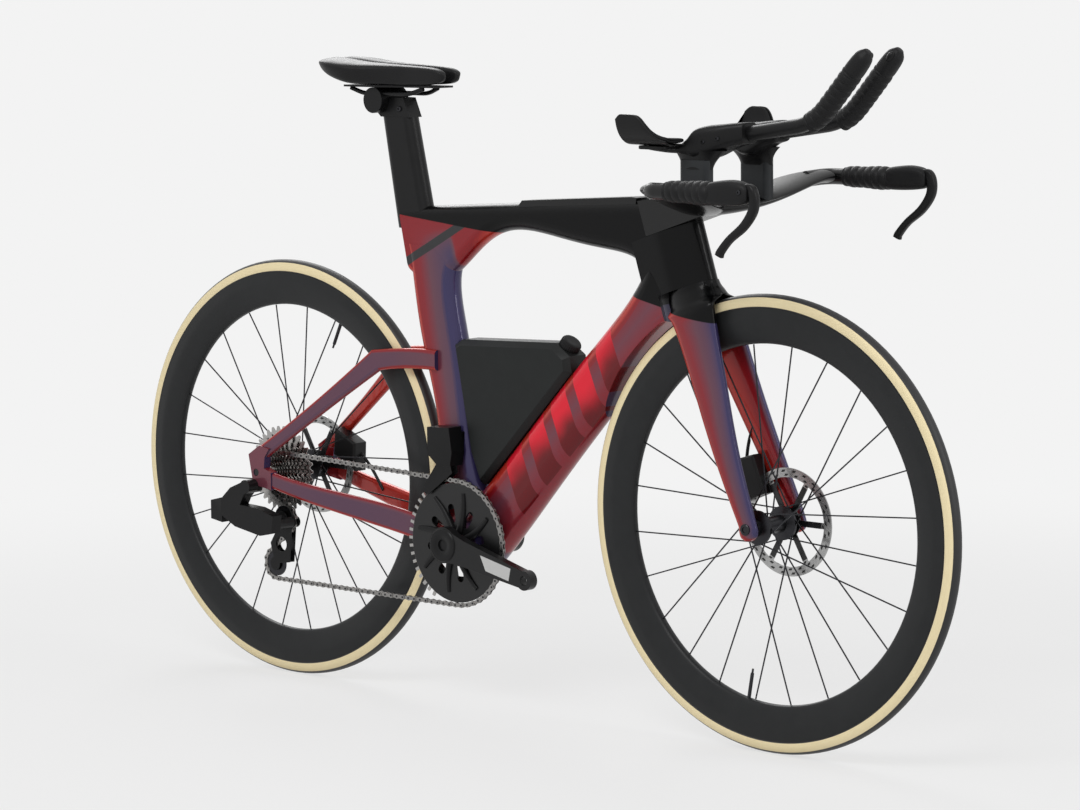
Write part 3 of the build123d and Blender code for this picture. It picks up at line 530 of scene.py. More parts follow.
def looped(rings):
    """A skin whose last ring joins its first, as on a washer."""
    rows, columns, _ = rings.shape
    points = rings.reshape(-1, 3)
    none = np.zeros((0, 3), int)
    return points, *outward(points, quads_between(rows, columns, wrap_rows=True), none)


def block(ahead, across, rise):
    """A closed piece from three arrays of ring corners, any of which may be one number a ring."""
    return closed(np.stack(np.broadcast_arrays(ahead, across, rise), axis=-1))


def both(make, *values):
    """The left and the right copy of a shell."""
    return [make(turn, *values) for turn in (1, -1)]


print("a tube of 2 rings by 8 has", len(closed(np.ones((2, 8, 3)))[1]), "squares")

# %% From a mesh to a piece of the bike


def stand(name, mesh, finish, body, stands_for, sharp):
    """Puts a mesh on its body, smooth but for edges sharper than an angle."""
    mesh.shade_smooth()
    mesh.set_sharp_from_angle(angle=float(np.radians(sharp)))
    mesh.materials.append(finish.material)
    made = bpy.data.objects.new(name, mesh)
    bpy.context.scene.collection.objects.link(made)
    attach(made, body)
    if stands_for:
        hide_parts(*stands_for)
    print(name, "faces", len(mesh.polygons))
    return made


def piece(name, shells, finish, body, stands_for, sharp):
    """One object from closed shells, given in millimetres from the rear axle."""
    points, faces, count = [], [], 0
    for shell_points, quads, fans in shells:
        points.append(shell_points / 1000 + rear_axle)
        faces += (quads + count).tolist() + (fans + count).tolist()
        count += len(shell_points)
    mesh = bpy.data.meshes.new(name)
    mesh.from_pydata(np.concatenate(points).tolist(), [], faces)
    return stand(name, mesh, finish, body, stands_for, sharp)


# %% Rings round a path


def bent(values, power):
    """Keeps the sign and raises the size to a power: below one, a circle grows square shoulders."""
    return np.sign(values) * np.abs(values) ** power


def upright(line, side):
    """A path through places ahead and up, all at one distance to the side."""
    line = np.asarray(line, float)
    return np.stack([line[:, 0], np.full(len(line), float(side)), line[:, 1]], axis=1)


def swept(path, radius, columns=32, squareness=1.0):
    """Rings round a path that stays near one upright plane.

    Each ring stands square to the path: centre + r cos(a) sideways + r sin(a) in the plane.
    radius is one number a row, or rows by columns.
    """
    path = np.array(path, float)
    heading = np.gradient(path, axis=0)
    heading /= np.linalg.norm(heading, axis=1)[:, None]
    sideways = np.cross(heading, np.cross(np.array([0.0, 1.0, 0.0]), heading))
    sideways /= np.linalg.norm(sideways, axis=1)[:, None]
    upward = np.cross(heading, sideways)
    angle = full_turn(columns)
    radius = np.broadcast_to(np.asarray(radius, float).reshape(len(path), -1), (len(path), columns))
    across, rise = bent(np.cos(angle), squareness) * radius, bent(np.sin(angle), squareness) * radius
    return path[:, None] + across[..., None] * sideways[:, None] + rise[..., None] * upward[:, None]


print("a ring of", len(swept([(0, 0, 0), (0, 0, 1)], [1, 1])[0]), "corners")

# %% [markdown]
# The saddle
#
# A saddle for this riding position has two narrow padded arms with a channel between them, which
# join at the tail. Each arm is one crowned form: its outline narrows from the hip to the nose, its
# top falls to the outer edge, and its tail kicks up. It is made as rings across the bike, from
# tail to nose, once for each side.

# %% The padded saddle
SADDLE_STATIONS = [
    # ahead, inner edge, outer edge, top, bottom
    (112, 0.5, 22, 658, 654), (116, 0.5, 42, 662, 650), (128, 0.6, 59, 664, 643), (150, 1.0, 68, 663, 633),
    (178, 2.5, 67, 660, 625), (205, 5.0, 58, 657.5, 622.5), (240, 7.5, 44, 655.5, 622),
    (280, 9.0, 33, 653.5, 622), (320, 9.5, 29, 651.5, 623), (345, 9.5, 27, 649, 625),
    (357, 10.5, 24.5, 645, 629), (361.5, 13, 20, 640, 635)]
CROWN_FALL = 5.5


def saddle_arm(turn, rows=90, columns=40):
    """One padded arm: y = mid + half * cos(a)^0.5, z = mid + half * sin(a)^0.5, less the crown's fall.

    The fall is greatest at the outer edge, as the square of the distance out, on the upper side only.
    """
    ahead, inner, outer, top, bottom = columns_of(SADDLE_STATIONS, rows)
    angle = full_turn(columns)
    across = (inner + outer) / 2 + (outer - inner) / 2 * bent(np.cos(angle), 0.5)
    rise = (top + bottom) / 2 + (top - bottom) / 2 * bent(np.sin(angle), 0.5)
    reach = (across - inner) / np.maximum(outer - inner, 1)
    upper = (rise - bottom) / np.maximum(top - bottom, 1)
    rise = rise - CROWN_FALL * reach**2 * upper * np.minimum((outer - inner) / 60, 1)
    tuck = 1 - 0.16 * reach * (1 - upper)
    return block(ahead, turn * across * tuck, rise)


saddle = piece("padded_saddle", both(saddle_arm), cover_skin, "frame", ["saddle"], 60)

# %% [markdown]
# Arm cups and their pads
#
# A cup is a thin moulded shell that holds the forearm from outside: flat underneath, then curling
# up, with rounded corners. The foam pad lies in it. Both follow one line across the bike, and the
# height that they reach changes along the bike, which rounds their corners off.

# %% Cups and pads
CUP_LINE = [(84, 552.8), (96, 552.4), (110, 552.6), (122, 554.4), (132, 560), (139.5, 568), (144.5, 577.5),
            (147.6, 588), (149.6, 597)]
LINE_STEPS, LINE_START = 200, 0.02


def curled(turn, back, front, thick, lift, stops, rows=44, columns=64):
    """A plate that follows the cup's line, its ends rounded.

    The line is followed as far as the plate reaches at that place along the bike. The plate's thickness
    is thick * (1 - u^8)^(1/2) along the bike and thick * sin(a)^0.35 across, so its edges are round.
    """
    u = np.linspace(-1, 1, rows)
    ahead = (back + front) / 2 + (front - back) / 2 * np.sin(u * np.pi / 2)
    reach = through(np.array(stops)[:, None], (ahead - back) / (front - back))
    angle = full_turn(columns)
    line = through(CUP_LINE, np.linspace(0, 1, LINE_STEPS))
    slope = np.gradient(line, axis=0)
    slope /= np.linalg.norm(slope, axis=1)[:, None]
    amount = LINE_START + (1 - np.cos(angle)) / 2 * (reach - LINE_START)
    index = np.clip(amount * (LINE_STEPS - 1), 0, LINE_STEPS - 1)
    y, z, out_y, out_z = (np.interp(index, np.arange(LINE_STEPS), column)
                          for column in (*line.T, -slope[:, 1], slope[:, 0]))
    out = lift + thick / 2 * np.sqrt(np.clip(1 - u**8, 0.02, 1))[:, None] * bent(np.sin(angle), 0.35)
    return block(ahead[:, None], turn * (y + out_y * out), z + out_z * out)


CUP_REACH = np.array((0.9, 1.0, 1.0, 1.0, 0.97, 0.84, 0.66, 0.53, 0.47))
piece("moulded_cups", both(curled, 826, 906, 3.0, 0.4, CUP_REACH), satin_carbon, "steering", ["arm_cups"], 60)
for turn, side in ((1, "left"), (-1, "right")):
    pad = piece("foam_pad_" + side, [curled(turn, 829, 903, 8.0, 6.2, CUP_REACH - 0.03)], foam_skin,
                "steering", ["arm_pad_" + side], 60)

# %% [markdown]
# Fork
#
# The fork's two legs grow out of one crown. Each leg is a wing section that is D-shaped at the
# crown, flat on the middle plane where both halves meet, opens into an arch over the tyre, and
# ends round at the axle. The rings keep the same corner order all the way, so the skin flows.

# %% The moulded fork
FORK_STATIONS = [
    # front edge x z, back edge x z, inner y, outer y, squareness of the inner side
    (889, 352.4, 807, 325.6, 0, 25.5, 0.12), (893, 345, 807, 317, 0, 27.5, 0.12),
    (899, 338, 810, 308, 0, 31, 0.14), (904, 331, 815, 301, 1, 34.5, 0.2),
    (909, 322, 822, 294, 20, 38.5, 0.5), (911, 306, 832, 286, 20, 42, 0.6),
    (920, 268, 846, 262, 22, 43.5, 0.7), (938, 210, 874, 206, 28, 48, 0.75),
    (957, 150, 903, 148, 35, 55, 0.8), (976, 96, 932, 92, 41.5, 60.5, 0.8),
    (996, 46, 960, 40, 47, 63.5, 0.8), (1010, 10, 979, 4, 50, 64, 0.7),
    (1013.5, -2, 980.5, -4, 50, 64, 0.7), (1011, -11, 984, -13, 50.4, 63.6, 0.7),
    (1003, -16.6, 992, -17, 52, 62, 0.8)]
STEERER = [(840.7, 0, 336.5), (812.8, 0, 422.3)]
STEERER_RADIUS = 14.2


def fork_leg(turn, rows=110, columns=44):
    """One leg: along = mid + chord/2 * cos(a), across bulges to the outer edge, and less to the inner.

    y = split + (outer - split) * sin(a)^0.8 outside and split - (split - inner) * |sin(a)|^q inside.
    """
    front_x, front_z, back_x, back_z, inner, outer, flat = columns_of(FORK_STATIONS, rows)
    inner = np.maximum(inner, 0)
    angle = full_turn(columns)
    along, lift = (1 + np.cos(angle)) / 2, np.sin(angle)
    split = inner + (outer - inner) * 0.35 * np.clip((flat - 0.15) / 0.4, 0, 1)
    across = np.where(lift > 0, split + (outer - split) * np.abs(lift) ** 0.8,
                      split - (split - inner) * np.abs(lift) ** np.clip(flat, 0.1, 1))
    return block(back_x + (front_x - back_x) * along, turn * across, back_z + (front_z - back_z) * along)


def steerer(rows=6):
    """The tube that turns in the head: a cylinder from the crown to the stem along the steering axis."""
    return closed(swept(through(STEERER, np.linspace(0, 1, rows)), np.full(rows, STEERER_RADIUS)))


piece("moulded_fork", [*both(fork_leg), steerer()], paint_fork, "steering", ["fork"], 50)

# %% [markdown]
# Wrapped tape and grips
#
# Bar tape is wound in a spiral, each turn lapping over the one before, so its surface is a row of
# shallow steps. The step height is a saw-tooth of the distance along the bar less the turn round it.

# %% The wound tape
GRIP_SIDE = 203.0
EXTENSION_SIDE = 36.0
TIP_RUN = np.array([52.0, 0, 58.0]) / 77.9


def wound(path, radius, pitch, step, columns=40):
    """Tape round a path: radius + step * (sin(pi f)^0.5 - 0.6), f = distance / pitch - angle / turn.

    f starts again from nought at each turn of the tape, and both ends taper over 2 mm.
    """
    distance = travelled(path)
    fraction = np.mod(distance[:, None] / pitch - np.linspace(0, 1, columns, endpoint=False), 1.0)
    ends = np.minimum(distance, distance[-1] - distance)[:, None]
    thick = radius + step * np.sin(fraction * np.pi) ** 0.5 - step * 0.6
    return closed(swept(path, thick - 2.5 * np.clip(1 - ends / 2.0, 0, 1), columns))


def bar_tape(turn, rows=150):
    """The tape on one grip, which thickens towards the brake housing."""
    along = np.linspace(0, 1, rows)
    path = upright(np.stack([970 + 88 * along, np.full(rows, 494.6)], axis=1), turn * GRIP_SIDE)
    return wound(path, through([[13.6], [15.4], [15.2], [16.4], [17.0], [15.6]], along), 13.0, 1.5)


def extension_tape(turn, rows=170):
    """The tape on one extension, through its bend."""
    route = [(1094, 586.2), (1108, 593.5), (1121, 604), (1137, 621), (1155, 641), (1171, 659)]
    return wound(upright(through(route, np.linspace(0, 1, rows)), turn * EXTENSION_SIDE), 15.0, 12.0, 1.6)


def shifter(turn, rows=40):
    """The control at an extension's tip: a barrel with a rounded end."""
    along = np.linspace(0, 1, rows)
    path = np.array([1170.5, turn * EXTENSION_SIDE, 658.5]) + TIP_RUN * (along * 41)[:, None]
    thick = through([[13.6], [14.3], [14.3], [14.0], [13.4], [11.6], [6.0]], along ** 0.8)
    return closed(swept(path, thick, 32, 0.85))


def shift_button(turn, rows=16):
    """The oval push button on the inner face of the barrel's end."""
    along = np.linspace(-1, 1, rows)
    path = np.array([1190.0, turn * (EXTENSION_SIDE - 11.5), 680.0]) + TIP_RUN * (along * 9)[:, None]
    return closed(swept(path, 5.2 * np.sqrt(np.clip(1 - along**2, 0.01, 1)), 20))


piece("wound_bar_tape", both(bar_tape), matte_black, "steering", ["bar_tapes"], 60)
piece("wound_extension_tape", both(extension_tape) + both(shifter), matte_black, "steering",
      ["extension_tapes"], 60)
piece("shift_buttons", both(shift_button), satin_carbon, "steering", (), 60)

# %% [markdown]
# Brake housings and blades
#
# A housing is a soft-edged box that swells out of the tape, and its blade is one curved strip that
# hangs from a pivot, broad at the top, narrow at the finger and flared at its tip.

# %% Housings and blades
HOUSING_STATIONS = [
    # ahead, half-width, half-height, middle
    (1052, 13.6, 13.8, 494.2), (1058, 14.4, 16.4, 495), (1072, 14.6, 17.6, 496), (1090, 14.0, 18, 497),
    (1106, 13.0, 16.6, 497), (1116, 12, 14, 496.4), (1121.5, 9.5, 9.5, 496), (1122.5, 4, 4, 496)]
BLADE_STATIONS = [
    # ahead, up, half the depth, width
    (1112, 506, 4.5, 9), (1124, 503, 6.8, 13), (1129.5, 490, 7.2, 13), (1127, 472, 6.8, 12.5),
    (1111, 451, 6.2, 11.5), (1086, 432, 5.4, 11), (1070, 415, 5.8, 10.5), (1066.5, 408, 6.6, 9.5)]


def housing(turn, rows=44, columns=36):
    """Rings along the bar: y = half-width * cos(a)^0.62, z = middle + half-height * sin(a)^0.62."""
    ahead, half_y, half_z, mid = columns_of(HOUSING_STATIONS, rows)
    angle = full_turn(columns)
    return block(ahead, turn * GRIP_SIDE + half_y * bent(np.cos(angle), 0.62),
                 mid + half_z * bent(np.sin(angle), 0.62))


def blade(turn, rows=60):
    """Rings down the blade: depth in the upright plane and width across, both as rounded squares."""
    stations = through(BLADE_STATIONS, np.linspace(0, 1, rows))
    path = upright(stations, turn * GRIP_SIDE)
    around = swept(path, np.ones(rows), 28, 0.6) - path[:, None]
    scale = stations[:, [2, 3, 2]] * (1, 0.5, 1)
    return closed(path[:, None] + around * scale[:, None])


piece("brake_housings", both(housing), matte_black, "steering", ["lever_bodies"], 60)
piece("brake_blades", both(blade), satin_carbon, "steering", ["brake_levers"], 60)

# %% [markdown]
# Chain
#
# A bicycle chain is a row of rollers half an inch apart, joined by plates in turn outside and
# inside. Its path runs round four toothed wheels. The path is built of straight legs and arcs,
# measured along, and then cut into equal steps, which places every link at once.

# %% The path round the toothed wheels
PITCH = 12.7
CHAIN_Y = -47.0


def pitch_radius(teeth):
    """Radius of the circle through the rollers: half the pitch over the sine of half a tooth's turn."""
    return PITCH / 2 / np.sin(np.pi / teeth)


WHEELS = [(BRACKET, pitch_radius(48), 1), ((0.0, 0.0), pitch_radius(15), 1),
          ((24.0, -76.0), pitch_radius(12), -1), ((6.0, -151.0), pitch_radius(12), 1)]


def chain_leg(first, second):
    """Ends and heading of the straight run that touches both wheels."""
    (one, radius_one, sense_one), (two, radius_two, sense_two) = first, second
    gap = np.subtract(two, one)
    heading = np.arctan2(gap[1], gap[0]) - np.arcsin((sense_two * radius_two - sense_one * radius_one)
                                                     / np.hypot(*gap))
    out = np.array([np.sin(heading), -np.cos(heading)])
    return np.add(one, sense_one * radius_one * out), np.add(two, sense_two * radius_two * out), heading


def chain_path():
    """The whole path as close points: each leg, then the arc to the next leg."""
    legs = [chain_leg(one, two) for one, two in zip(WHEELS, WHEELS[1:] + WHEELS[:1])]
    amount = np.linspace(0, 1, 200)
    runs = []
    for number, (start, end, heading) in enumerate(legs):
        after = (number + 1) % len(legs)
        centre, radius, sense = WHEELS[after]
        sweep = np.mod(legs[after][2] - heading, 2 * np.pi) - (2 * np.pi if sense < 0 else 0)
        angles = heading + amount * sweep
        arc = np.array(centre) + sense * radius * np.stack([np.sin(angles), -np.cos(angles)], axis=1)
        runs += [start + amount[:, None] * (end - start), arc]
    return np.concatenate(runs)


chain_line = chain_path()
travel = travelled(chain_line)
link_count = 2 * int(round(travel[-1] / PITCH / 2))
stops = np.arange(link_count) / link_count * travel[-1]
pins = np.stack([np.interp(stops, travel, chain_line[:, n]) for n in (0, 1)], axis=1)
print("chain of", link_count, "links,", round(travel[-1] / link_count, 3), "mm apart")

# %% Plates and rollers


def prism(outline, centre, turn, near, far):
    """A closed block: an outline turned and moved in the upright plane, from y near to y far."""
    cos, sin = np.cos(turn), np.sin(turn)
    flat = centre + outline @ np.array([(cos, sin), (-sin, cos)])
    return closed(np.stack([upright(flat, near), upright(flat, far)]))


def plate_outline(reach=3.9, waist=2.5, steps=5):
    """Two round ends half a pitch either way, drawn in at the middle."""
    fan = np.linspace(-np.pi / 2, np.pi / 2, steps)
    right = np.stack([PITCH / 2 + reach * np.cos(fan), reach * np.sin(fan)], axis=1)
    return np.concatenate([right, [(0, waist)], -right, [(0, -waist)]])


OUTER_PLATE, INNER_PLATE = (1.9, 2.7), (1.05, 1.85)
following = np.roll(pins, -1, axis=0)
link_turns = np.arctan2(*(following - pins).T[::-1])
disc = np.stack([np.cos(full_turn(10)), np.sin(full_turn(10))], axis=1)
links, pin_shells = [], []
for number, pin in enumerate(pins):
    near, far = INNER_PLATE if number % 2 else OUTER_PLATE
    for hand in (-1, 1):
        links.append(prism(plate_outline(), (pin + following[number]) / 2, link_turns[number],
                           CHAIN_Y + hand * near, CHAIN_Y + hand * far))
    links.append(prism(disc * 3.4, pin, 0.0, CHAIN_Y - 1.0, CHAIN_Y + 1.0))
    pin_shells.append(prism(disc * 1.7, pin, 0.0, CHAIN_Y - 3.1, CHAIN_Y + 3.1))
piece("linked_chain", links, chain_steel, "frame", ["chain"], 30)
piece("chain_pins", pin_shells, dark_alloy, "frame", (), 30)

# %% [markdown]
# Toothed wheels
#
# A cog is a ring with a tooth for each link. Going round it, the radius steps between the root
# and the tip, which a rounded wave of the angle says in one line.

# %% Cogs


def toothed(teeth, y, half, root, tip, hole, per_tooth=8):
    """A washer round the rear axle: radius = root + (tip - root) * clip(0.5 + 1.1 cos(teeth * angle)).

    Its hole is plain. Where the tip is no higher than the root, it has no teeth.
    """
    angle = full_turn(teeth * per_tooth)
    radius = root + (tip - root) * np.clip(0.5 + 1.1 * np.cos(angle * teeth), 0, 1)
    around = np.stack([np.cos(angle), np.sin(angle)], axis=1)
    sides = ((radius, -half), (radius, half), (hole, half), (hole, -half))
    return looped(np.stack([upright(around * np.reshape(size, (-1, 1)), y + side) for size, side in sides]))


COGS = (10, 11, 12, 13, 14, 15, 17, 19, 21, 24, 28, 33)
CHAIN_COG, COG_STEP, COG_HALF, COG_HOLE = 5, 3.65, 0.8, 17.0
cogs = []
for number, teeth in enumerate(COGS):
    root = pitch_radius(teeth) - 4.4
    y = CHAIN_Y + (number - CHAIN_COG) * COG_STEP
    cogs.append(toothed(teeth, y, COG_HALF, root, root + 6.6, COG_HOLE))
core = toothed(6, CHAIN_Y - 1.75, 22.75, 17.2, 17.2, 6.3)
piece("toothed_cassette", [*cogs, core], bright_steel, "frame", ["cassette"], 30)

# %% [markdown]
# Arm rest mounts
#
# Each mount is one moulding: a long body that grips the extension, thin at the rear under the cup,
# deep over the post, with a flare that spreads over the post's top. The body is rings across the
# bike, and the flare is a stack of ovals.

# %% The moulded mounts
MOUNT_STATIONS = [
    # ahead, middle, half-height, half-width
    (833, 546.2, 4.6, 20), (850, 545.6, 5.4, 24), (870, 545.0, 6.0, 27), (890, 545.8, 7.2, 28),
    (903, 549.5, 13.0, 28), (913, 553.5, 21.5, 27.5), (930, 556.5, 23.5, 26.5), (950, 562.0, 20.0, 24.5),
    (968, 566.8, 17.2, 21.0), (984, 569.2, 15.6, 18.0), (986, 569.4, 13.4, 15.5)]
ROUND = full_turn(44)


def mount_body(turn, rows=70):
    """Rounded squares: y = middle + half-width * cos(a)^0.45, z = middle + half-height * sin(a)^0.5."""
    ahead, mid, high, wide = columns_of(MOUNT_STATIONS, rows)
    centre = np.interp(ahead, [833, 890, 940, 986], [62, 58, 48, 38])
    across = turn * (centre + wide * bent(np.cos(ROUND), 0.45))
    return block(ahead, across, mid + high * bent(np.sin(ROUND), 0.5))


def mount_flare(turn, rows=24):
    """Ovals from the post's size up to the body: the half-lengths grow as the square of the height."""
    up = np.linspace(0, 1, rows)[:, None]
    ahead = 912 + (29 + 19 * up**2) * bent(np.cos(ROUND), 0.85)
    return block(ahead, turn * (68 - 8 * up) + (10.4 + 8 * up**2) * np.sin(ROUND), 517 + 27 * up)


def cup_bracket(turn):
    """The plate that a cup is screwed to, a rounded rectangle 5 mm thick."""
    scale, rise = np.array([(0.96, 545.9), (1, 546.6), (1, 550.6), (0.96, 551.2)]).T[..., None]
    angle = full_turn(40)
    across = turn * 98 + 23 * scale * bent(np.sin(angle), 0.3)
    return block(868 + 25 * scale * bent(np.cos(angle), 0.3), across, rise)


piece("moulded_mounts", both(mount_body) + both(mount_flare) + both(cup_bracket), satin_carbon, "steering",
      ["extension_mounts"], 50)

# %% [markdown]
# Softened blocks
#
# The brake and gear bodies are forged or moulded, and no edge on them is sharp. Their solids carry
# the right outlines, so a copy of each is welded, freed of needless edges, and given a Bevel
# modifier, which puts a narrow round on every edge over 30 degrees.

# %% Bevelled copies
WELD = 0.00002
FLAT_ANGLE, BEVEL_ANGLE = float(np.radians(3)), float(np.radians(30))


def softened(node, width, finish, body):
    """A welded copy of a CAD piece with rounded edges, standing for it."""
    work = bmesh.new()
    work.from_mesh(nodes[node].data)
    bmesh.ops.remove_doubles(work, verts=work.verts, dist=WELD)
    bmesh.ops.dissolve_limit(work, angle_limit=FLAT_ANGLE, verts=work.verts, edges=work.edges)
    mesh = bpy.data.meshes.new("soft_" + node)
    work.to_mesh(mesh)
    work.free()
    made = stand("soft_" + node, mesh, finish, body, [node], 40)
    bevel = made.modifiers.new("round edges", "BEVEL")
    bevel.width = width / 1000
    bevel.segments = 3
    bevel.limit_method = "ANGLE"
    bevel.angle_limit = BEVEL_ANGLE
    bevel.harden_normals = True


for node, width, body in (("rear_derailleur", 2.2, "frame"), ("front_derailleur", 2.5, "frame"),
                          ("rear_caliper", 2.0, "frame"), ("front_caliper", 2.0, "steering"),
                          ("derailleur_cage", 0.5, "frame")):
    softened(node, width, satin_carbon, body)

# %% [markdown]
# Cranks
#
# The arm is black with a bare silver panel near its pedal end, where a maker would print. The
# panel is a mask on the distance along the arm, on the outer face only.

# %% The arm's panel and the ring's edge
CRANK_DROP = np.radians(12.7)
CRANK_AXLE = rear_axle + np.array((BRACKET[0], 0, BRACKET[1])) / 1000


def make_crank(name, turn):
    """Satin black with a silver panel from 86 to 143 mm along, its rear end slanted.

    Along the arm and across it are the distances from the spindle, turned by the crank's drop.
    """
    finish = Finish(name, linear(16, 16, 17), 0.36, Specular_IOR_Level=0.3)
    cos, sin = float(np.cos(CRANK_DROP)), float(np.sin(CRANK_DROP))
    ahead, rise, _ = round_axle(finish, CRANK_AXLE)
    x, z = ahead * -turn, rise * -turn
    along, across = x * cos - z * sin, x * sin + z * cos
    out = finish.axes(finish.place)[1].size()
    panel = ((along + across * 0.8).ramp(0.086, 0.0865) * (1 - along.ramp(0.143, 0.1435))
             * across.ramp(-0.0105, -0.01) * (1 - across.ramp(0.0095, 0.01)) * out.ramp(0.0765, 0.0768))
    cloud = finish.noise(60, 3.0)
    black = finish.blend(cloud, linear(15, 15, 16), linear(24, 24, 25))
    finish.set("Base Color", finish.blend(panel, black, linear(206, 206, 205)))
    finish.set("Roughness", cloud * 0.12 + 0.3)
    finish.raise_by(finish.noise(2600, 2.0), 0.0001, 0.3)
    return finish


def make_ring_finish(name):
    """A black ring with bare steel teeth outside 93 mm and fine turning marks."""
    finish = Finish(name, linear(16, 16, 17), 0.35, Specular_IOR_Level=0.4)
    radius = round_axle(finish, CRANK_AXLE)[2]
    teeth = radius.ramp(0.0925, 0.0928)
    groove = (radius * 2400.0).wave() * 0.5 + 0.5
    finish.set("Base Color", finish.blend(teeth, linear(17, 17, 18), linear(170, 168, 166)))
    finish.set("Metallic", teeth)
    finish.set("Roughness", groove * 0.1 + 0.3)
    return finish


for side, turn in (("right", -1), ("left", 1)):
    softened("crank_arm_" + side, 2.6, make_crank("crank_" + side + "_black", turn), "frame")
wear(["chainring_large", "chainring_small"], make_ring_finish("ring_black_steel"))

# %% Revolved forms, the boss and the spider


def turned_part(centre, direction, profile, columns, waves=0):
    """A revolved form: each ring stands at a distance along the direction with a radius of its own.

    A third number in a row of the profile is the height of the waves that run round that ring.
    """
    direction = np.array(direction, float) / np.linalg.norm(direction)
    side = np.cross(direction, [0.0, 0, 1] if abs(direction[2]) < 0.9 else [1.0, 0, 0])
    side /= np.linalg.norm(side)
    angle = full_turn(columns)
    around = np.cos(angle)[:, None] * side + np.sin(angle)[:, None] * np.cross(direction, side)
    profile = np.array(profile, float)
    radius = profile[:, [1]] + profile[:, 2:].sum(axis=1, keepdims=True) * np.cos(waves * angle)
    return closed(np.array(centre, float) + profile[:, :1, None] * direction + radius[..., None] * around)


boss = turned_part((BRACKET[0], -78.0, BRACKET[1]), (0, -1, 0),
                   [(-2, 26), (0.6, 26), (2.0, 24.5), (2.4, 20), (1.8, 14), (1.2, 12.5), (0.8, 9),
                    (-3.5, 8.6), (-3.5, 0.02)], 64)
piece("crank_boss", [boss], satin_carbon, "frame", (), 35)
ARM_FOOT, ARM_TIP, ARM_STEPS, ARM_Y = 22, 80, 12, -47.6
reach = np.linspace(ARM_FOOT, ARM_TIP, ARM_STEPS)
spider = []
for degrees in range(20, 380, 45):
    lean = np.radians(degrees) + (reach - ARM_FOOT) * 0.004
    line = np.stack([BRACKET[0] + reach * np.cos(lean), BRACKET[1] + reach * np.sin(lean)], axis=1)
    spider.append(closed(swept(upright(line, ARM_Y), np.linspace(6.4, 3.6, ARM_STEPS), 12, 0.6)))
piece("spider_arms", spider, satin_carbon, "frame", (), 40)

# %% [markdown]
# Rotors
#
# A rotor is two parts: a bare steel ring that the pads rub, pierced by rows of slots, and a black
# alloy spider. Both are one solid here, so the finish parts them by their distance from the axle,
# and the slots are dark marks on the steel.

# %% Rotor finish


def make_rotor_finish(name, axle):
    """Steel outside 61 mm with three rings of slots, black inside."""
    finish = Finish(name, linear(170, 170, 170), 0.28, Metallic=1.0)
    ahead, rise, radius = round_axle(finish, axle)
    turns = rise.math("ARCTAN2", ahead) * (24 / (2 * np.pi)) + radius * 40.0
    dark = 1 - radius.ramp(0.0612, 0.0616)
    for ring, shift in ((0.0755, 0.0), (0.0695, 0.5), (0.0645, 0.0)):
        along_slot = ((turns + shift).fraction() - 0.5).size()
        across_slot = (radius - ring).size()
        dark = dark.most((0.5 - along_slot).ramp(0.33, 0.36) * (0.0018 - across_slot).ramp(0.0, 0.0003))
    marks = finish.noise(700, 2.0)
    steel = finish.blend(marks, linear(150, 150, 150), linear(190, 190, 189))
    finish.set("Base Color", finish.blend(dark, steel, linear(16, 16, 17)))
    finish.set("Metallic", 1 - dark)
    finish.set("Roughness", marks * 0.14 + 0.22)
    return finish


for end, axle in (("front", front_axle), ("rear", rear_axle)):
    wear([end + "_rotor"], make_rotor_finish(end + "_rotor_steel", axle))

# %% [markdown]
# Bottle
#
# The bottle between the tubes is a softened block, and its filler cap is a turned form whose side
# waves 32 times round.

# %% Bottle and cap
softened("frame_bottle", 5.0, bottle_skin, "frame")
cap = turned_part((600.0, 0, 233.0), (0.62, 0, 0.78),
                  [(-4, 16, 0), (2, 16, 0.6), (10, 15.8, 0.6), (12.6, 14.4, 0.18), (13.6, 12, 0),
                   (13.2, 8, 0), (13.2, 1, 0)], 96, waves=32)
piece("ribbed_bottle_cap", [cap], matte_black, "frame", ["bottle_cap"], 40)

# %% [markdown]
# Bolts, axle ends and valves
#
# Small fasteners tell the eye how large a thing is. Each is one revolved profile, and all that ride
# on one body are joined.

# %% Fasteners
RIGHT, LEFT, DOWN = (0, -1, 0), (0, 1, 0), (0, 0, -1)


def bolt(centre, direction, radius):
    """A round head with a domed edge and a sunk socket, as one revolved profile."""
    return turned_part(centre, direction, [(-1.5, radius), (0.8, radius), (1.6, radius * 0.86),
                                           (1.6, radius * 0.5), (0.32, radius * 0.48), (0.24, 0.02)], 24)


on_frame = [bolt((0, -77.8, 0), RIGHT, 8.5), bolt((0, 77.8, 0), LEFT, 8.5), bolt((262, -15, 585), RIGHT, 4.2),
            bolt((262, 15, 585), LEFT, 4.2), bolt((-34, -90.5, -56), RIGHT, 5.5),
            bolt((30, -92, -78), RIGHT, 5.0)]
on_steering = [bolt((WHEELBASE, -64.2, 0), RIGHT, 8.5), bolt((WHEELBASE, 64.2, 0), LEFT, 8.5)]
for turn in (1, -1):
    on_steering += [bolt((ahead, turn * 98, 546.0), DOWN, 3.2) for ahead in (858, 878)]
    on_steering += [bolt((ahead, turn * out, up), (0, turn, 0), radius) for ahead, out, up, radius in
                    ((930, 76.3, 557, 3.2), (952, 70.5, 562, 3.2), (1112, GRIP_SIDE + 12.6, 499, 3.4))]
piece("frame_bolts", on_frame, dark_alloy, "frame", (), 30)
piece("steering_bolts", on_steering, dark_alloy, "steering", (), 30)

